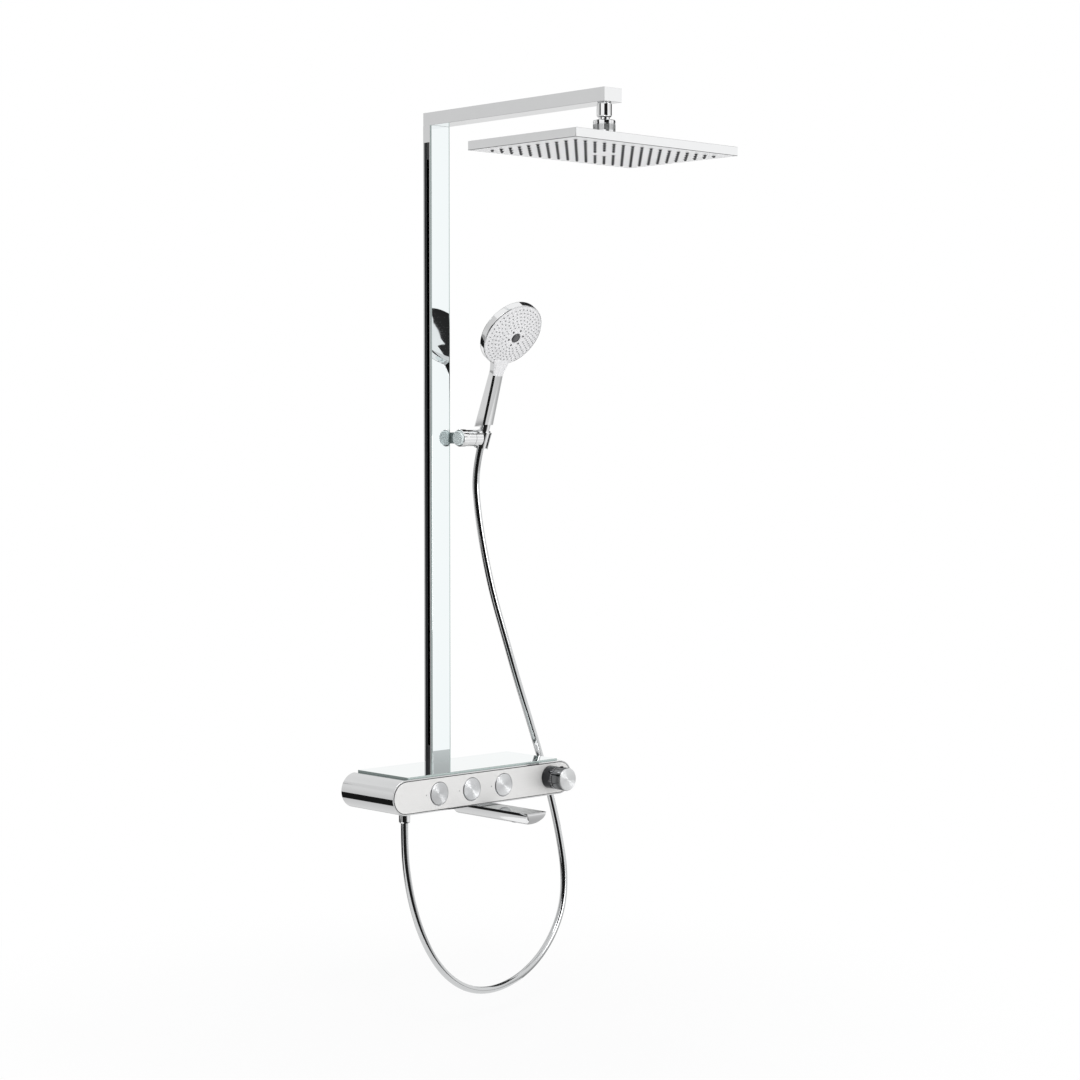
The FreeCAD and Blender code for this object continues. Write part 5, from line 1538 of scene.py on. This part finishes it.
@dataclass
class Slide(Assembly):
    """The slide on the column and the holder that tilts on it."""

    start: Point = (22, -42, 615.7)
    rim_r: float = 15.5
    tube_r: float = 14.5
    tube_end: float = 35.4
    well_r: float = 13.55
    well_end: float = 16.5
    pin_r: float = 5.1
    press_r: float = 13.2

    def build(self) -> None:
        """Makes barrel, button, carriage and holder."""
        rim, tube, well, pin, end = self.rim_r, self.tube_r, self.well_r, self.pin_r, self.tube_end
        place = Axis.RIGHT.at(self.start)
        profile = [
            (well, 5), (rim - 0.9, 5), (rim - 0.3, 5.4), (rim, 6.2), (rim, 17.4), (rim - 0.3, 17.9), (tube, 18.1),
            (tube, end - 0.5), (tube - 0.4, end), (pin, end), (pin, self.well_end), (well, self.well_end),
        ]
        sleeve = Bench.turned("slide_sleeve", profile, place, 96, ring=True)
        self.adopt(sleeve, CHROME, Slot.CHROME, "slide_barrel")
        r = self.press_r
        profile = [
            (r, 11), (r, 1.5), (r - 0.3, 0.8), (r - 1, 0.2), (r - 1.6, 0), (r - 2.3, 0.15), (7, 0.5), (TIP, 0.6),
        ]
        button = Bench.turned("slide_press", profile, place, 96)
        _, y, z = self.start
        spun = Spun("spun_slide_press", (0.86, 0.94, 0.94), 0.35, (0, y * MM, z * MM), "X", pull=0.2, metallic=0.35)
        self.adopt(button, spun, Slot.BRUSHED, "slide_button")
        shoe = Bench.refined("slide_shoe", "slide_carriage", 0.4)
        self.adopt(shoe, SATIN_SHOE, Slot.CHROMED_PLASTIC, "slide_carriage")
        self.adopt(Bench.refined("cup_holder", "holder", 0.35, 38), CHROME, Slot.CHROME, "holder")
        self.dress(STEEL, "slide_spring", "holder_pin")


@dataclass
class HandShower(Assembly):
    """The hand shower from its hose nut to its spray face."""

    face_up: float = 198.5
    face_out: float = 19.3
    rim_r: float = 62.3
    back_depth: float = 25
    foot_up: float = 24
    foot_tilt: float = 24
    neck_low: float = 119
    neck_split: float = 3
    handle_top: float = 176
    foot_half: float = 12.6
    neck_half: float = 11.6
    top_half: float = 36
    flare_power: float = 1.6
    front_depth: float = 10.5
    front_taper: float = 2.5
    rear_depth: float = 22.5
    rear_taper: float = 7.3
    rear_shrink: float = 0.4
    face_r: float = 60.6
    crown: float = 9.2
    bulge: float = 2.4
    front_corner: float = 3
    rear_corner: float = 6
    draft: float = 3.5
    bore_r: float = 9.3
    bore_up: float = 34
    cap_seat: float = 9.35
    cap_r: float = 9
    wide_ring: float = 15.5
    wide_jets: int = 6
    wide_start: float = 15
    jet_room: float = 2
    jet_rings: Sequence[tuple[float, int]] = ((22.5, 18), (28.9, 22), (35.3, 26), (41.7, 31), (48.1, 36), (54.5, 40))

    def face_place(self) -> Matrix:
        """Finds the middle of the spray head's rim.

        Returns:
            Its place, with the axis out of the face.
        """
        side, up = math.sin(math.radians(LEAN)), math.cos(math.radians(LEAN))
        x, y, z = HOLDER_PIN
        y = y - self.face_out * up - self.face_up * side
        z = z - self.face_out * side + self.face_up * up
        return Axis.FACE.at((x, y, z))

    def dome(self, radius: float) -> float:
        """How far the face stands out at a radius, in millimetres."""
        ball = (self.face_r ** 2 + self.crown ** 2) / (2 * self.crown)
        return self.crown - ball + math.sqrt(ball ** 2 - radius ** 2)

    def domed(self, radii: Sequence[float]) -> list[tuple[float, float]]:
        """The face's profile at some radii."""
        return [(radius, self.dome(radius)) for radius in radii]

    def build(self) -> None:
        """Makes the hand shower's pieces."""
        self.nut()
        self.handle()
        neck = Bench.even(Bench.carved(self.loft("pale_neck"), self.split_block(), "INTERSECT"), 30)
        self.adopt(neck, WHITE_PLASTIC, Slot.WHITE_PLASTIC, "hs_neck")
        self.spray_head()
        self.jets(neck)

    def section(self, height: float) -> list[Point]:
        """The handle's section at a height on its axis.

        Args:
            height: the height above the holder's pin, in millimetres.

        Returns:
            The section's points, a rectangle with round corners.
        """
        low = min(height / self.neck_low, 1)
        flare = max(0.0, (height - self.neck_low) / (self.handle_top - self.neck_low))
        half = self.foot_half + (self.neck_half - self.foot_half) * low
        half += (self.top_half - self.neck_half) * flare ** self.flare_power
        front = self.front_depth - self.front_taper * low
        rear = (self.rear_depth - self.rear_taper * low) * (1 - self.rear_shrink * flare)
        steps, points = 8, []
        for quadrant, (sx, sy) in enumerate(((1, 1), (-1, 1), (-1, -1), (1, -1))):
            reach, corner = (rear, self.rear_corner) if sy > 0 else (front, self.front_corner)
            for k in range(steps + 1):
                turn = math.pi / 2 * (quadrant + k / steps)
                x = sx * (half - corner) + corner * math.cos(turn)
                y = sy * (reach - corner) + corner * math.sin(turn)
                points.append((x - sx * self.draft * y / rear if sy > 0 else x, y, height))
            if quadrant == 2:
                points += [((half - corner) * (k / 5 - 1), -reach, height) for k in range(1, 10)]
        rise = self.bulge * (1 - flare)
        return [(x, y + rise * (x / half) ** 2 if y < 0 else y, z) for x, y, z in points]

    def loft(self, name: str) -> Piece:
        """The whole handle from below its foot to behind the spray head, less the spray head.

        Args:
            name: the piece's name.

        Returns:
            The piece, in its place.
        """
        heights = [self.neck_low * k / 6 for k in range(6)]
        heights += [self.neck_low + (self.handle_top - self.neck_low) * k / 14 for k in range(15)]
        piece = Bench.lofted(name, [self.section(height) for height in heights])
        Bench.settle(piece, Axis.HANDLE.at(HOLDER_PIN))
        hull = [(TIP, -self.back_depth), (44, -22), (self.rim_r, -14.2), (self.rim_r, 0), (self.face_r, 0.02)]
        hull += self.domed((56, 50, 44, 38, 32, 26, 20, 14, 8, TIP))
        return Bench.carved(piece, Bench.turned("hull", hull, self.face_place(), 128))

    def split_block(self) -> Piece:
        """The room in front of the split between handle and neck."""
        block = Bench.slab("split", (-80, -80, self.neck_low), (80, -self.neck_split, 260), 0.01, 1)
        return Bench.settle(block, Axis.HANDLE.at(HOLDER_PIN))

    def handle(self) -> None:
        """Makes the plated handle with its sloping foot."""
        piece = Bench.carved(self.loft("grip_handle"), self.split_block())
        slope = math.radians(self.foot_tilt)
        turn = Axis.HANDLE.value.to_3x3()
        foot = Vector(HOLDER_PIN) + turn @ Vector((0, 0, self.foot_up))
        Bench.parted(piece, foot, turn @ Vector((0, -math.sin(slope), -math.cos(slope))), True)
        bore = [(self.bore_r, 0), (self.bore_r, self.bore_up)]
        Bench.carved(piece, Bench.turned("bore", bore, Axis.HANDLE.at(HOLDER_PIN), 64))
        self.adopt(Bench.even(piece, 30), BRIGHT_PLATING, Slot.CHROMED_PLASTIC, "hs_handle")

    def nut(self) -> None:
        """Makes the conical hose nut with its shoulder and neck."""
        neck = self.bore_r - 0.1
        profile = [
            (6.4, -17.9), (9.2, -17.9), (9.9, -17.4), (10.1, -16.6), (11.95, 13.2), (11.7, 13.8), (neck, 14),
            (neck, self.bore_up),
        ]
        nut = Bench.turned("cone_nut", profile, Axis.HANDLE.at(HOLDER_PIN))
        self.adopt(nut, CHROME, Slot.CHROME, "hose_nut_upper")

    def spray_head(self) -> None:
        """Makes the chrome shell, the domed face and the centre cap."""
        place, r, face_r, seat, cap_r = self.face_place(), self.rim_r, self.face_r, self.cap_seat, self.cap_r
        profile = [
            (TIP, -self.back_depth), (30, -24.2), (44, -22), (56, -17.5), (60.6, -14.9), (r - 0.5, -13.6), (r, -12),
            (r, -1.6), (r - 0.25, -0.9), (r - 0.7, -0.3), (r - 1.0, -0.1), (61, -0.4), (60.95, -5),
        ]
        shell = Bench.turned("spray_shell", profile, place, 128)
        self.adopt(shell, BRIGHT_PLATING, Slot.CHROMED_PLASTIC, "hs_shell")
        profile = [(seat, -5), (face_r, -5), (face_r, -0.5)]
        profile += self.domed((face_r - 0.6, 56, 50, 44, 38, 32, 26, 20, 15, 11.5, seat + 0.45))
        profile += [(seat, self.dome(seat) - 0.5)]
        face = Bench.turned("spray_face", profile, place, 128, ring=True)
        self.adopt(face, WHITE_PLASTIC, Slot.WHITE_PLASTIC, "hs_face")
        profile = [
            (cap_r, -5), (cap_r, 8.9), (cap_r - 0.4, 9.4), (7.8, 9.7), (7.4, 9.4), (7.2, 9.1), (6.6, 9.0), (6.2, 9.3),
            (5, 9.45), (TIP, 9.5),
        ]
        cap = Bench.turned("centre_cap", profile, place, 64)
        self.adopt(cap, DARK_PLASTIC, Slot.DARK_PLASTIC, "hs_centre")

    def jets(self, neck: Piece) -> None:
        """Makes the small soft jets in rings, clear of the neck, and the six wide ones round the centre.

        Args:
            neck: the neck that the rings stop at.
        """

        def spot(radius: float, turn: float) -> Matrix:
            """A place on the domed face."""
            out = Matrix.Translation(Vector((radius, 0, self.dome(radius))) * MM)
            return self.face_place() @ Matrix.Rotation(turn, 4, "Z") @ out

        profile = [(1.25, -0.3), (1.25, 0.25), (0.95, 0.85), (0.7, 1.0), (0.4, 0.7)]
        jet = Bench.turned("jet", profile, Axis.UP.value, 8, angle=40)
        bpy.context.view_layer.update()
        places = []
        for ring, (radius, count) in enumerate(self.jet_rings):
            for k in range(count):
                place = spot(radius, 2 * math.pi * (k + 0.5 * (ring % 2)) / count)
                _, near, _, _ = neck.closest_point_on_mesh(place.translation)
                if (near - place.translation).length > self.jet_room * MM:
                    places.append(place)
        self.adopt(Bench.copies("face_jets", jet, places), JET_RUBBER, Slot.GREY_RUBBER, "hs_nozzles")
        profile = [(1.9, -0.3), (1.9, 0.3), (1.5, 0.5), (0.9, 0.1)]
        wide = Bench.turned("wide", profile, Axis.UP.value, 16, angle=40)
        turns = [math.radians(self.wide_start + 360 / self.wide_jets * k) for k in range(self.wide_jets)]
        places = [spot(self.wide_ring, turn) for turn in turns]
        self.adopt(Bench.copies("centre_jets", wide, places), NOZZLE_RUBBER, Slot.GREY_RUBBER, body="hand_shower")


def main() -> None:
    """Builds the studio and every sub-assembly in order."""
    logging.basicConfig(level=logging.INFO, format="%(message)s")
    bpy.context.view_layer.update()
    for maker in (Studio, Hose, Housing, Controls, Outlets, Column, Arm, OverheadShower, Slide, HandShower):
        maker().build()
    Bench.clear()
    bpy.context.view_layer.update()
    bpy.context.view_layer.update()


if __name__ == "__main__":
    main()
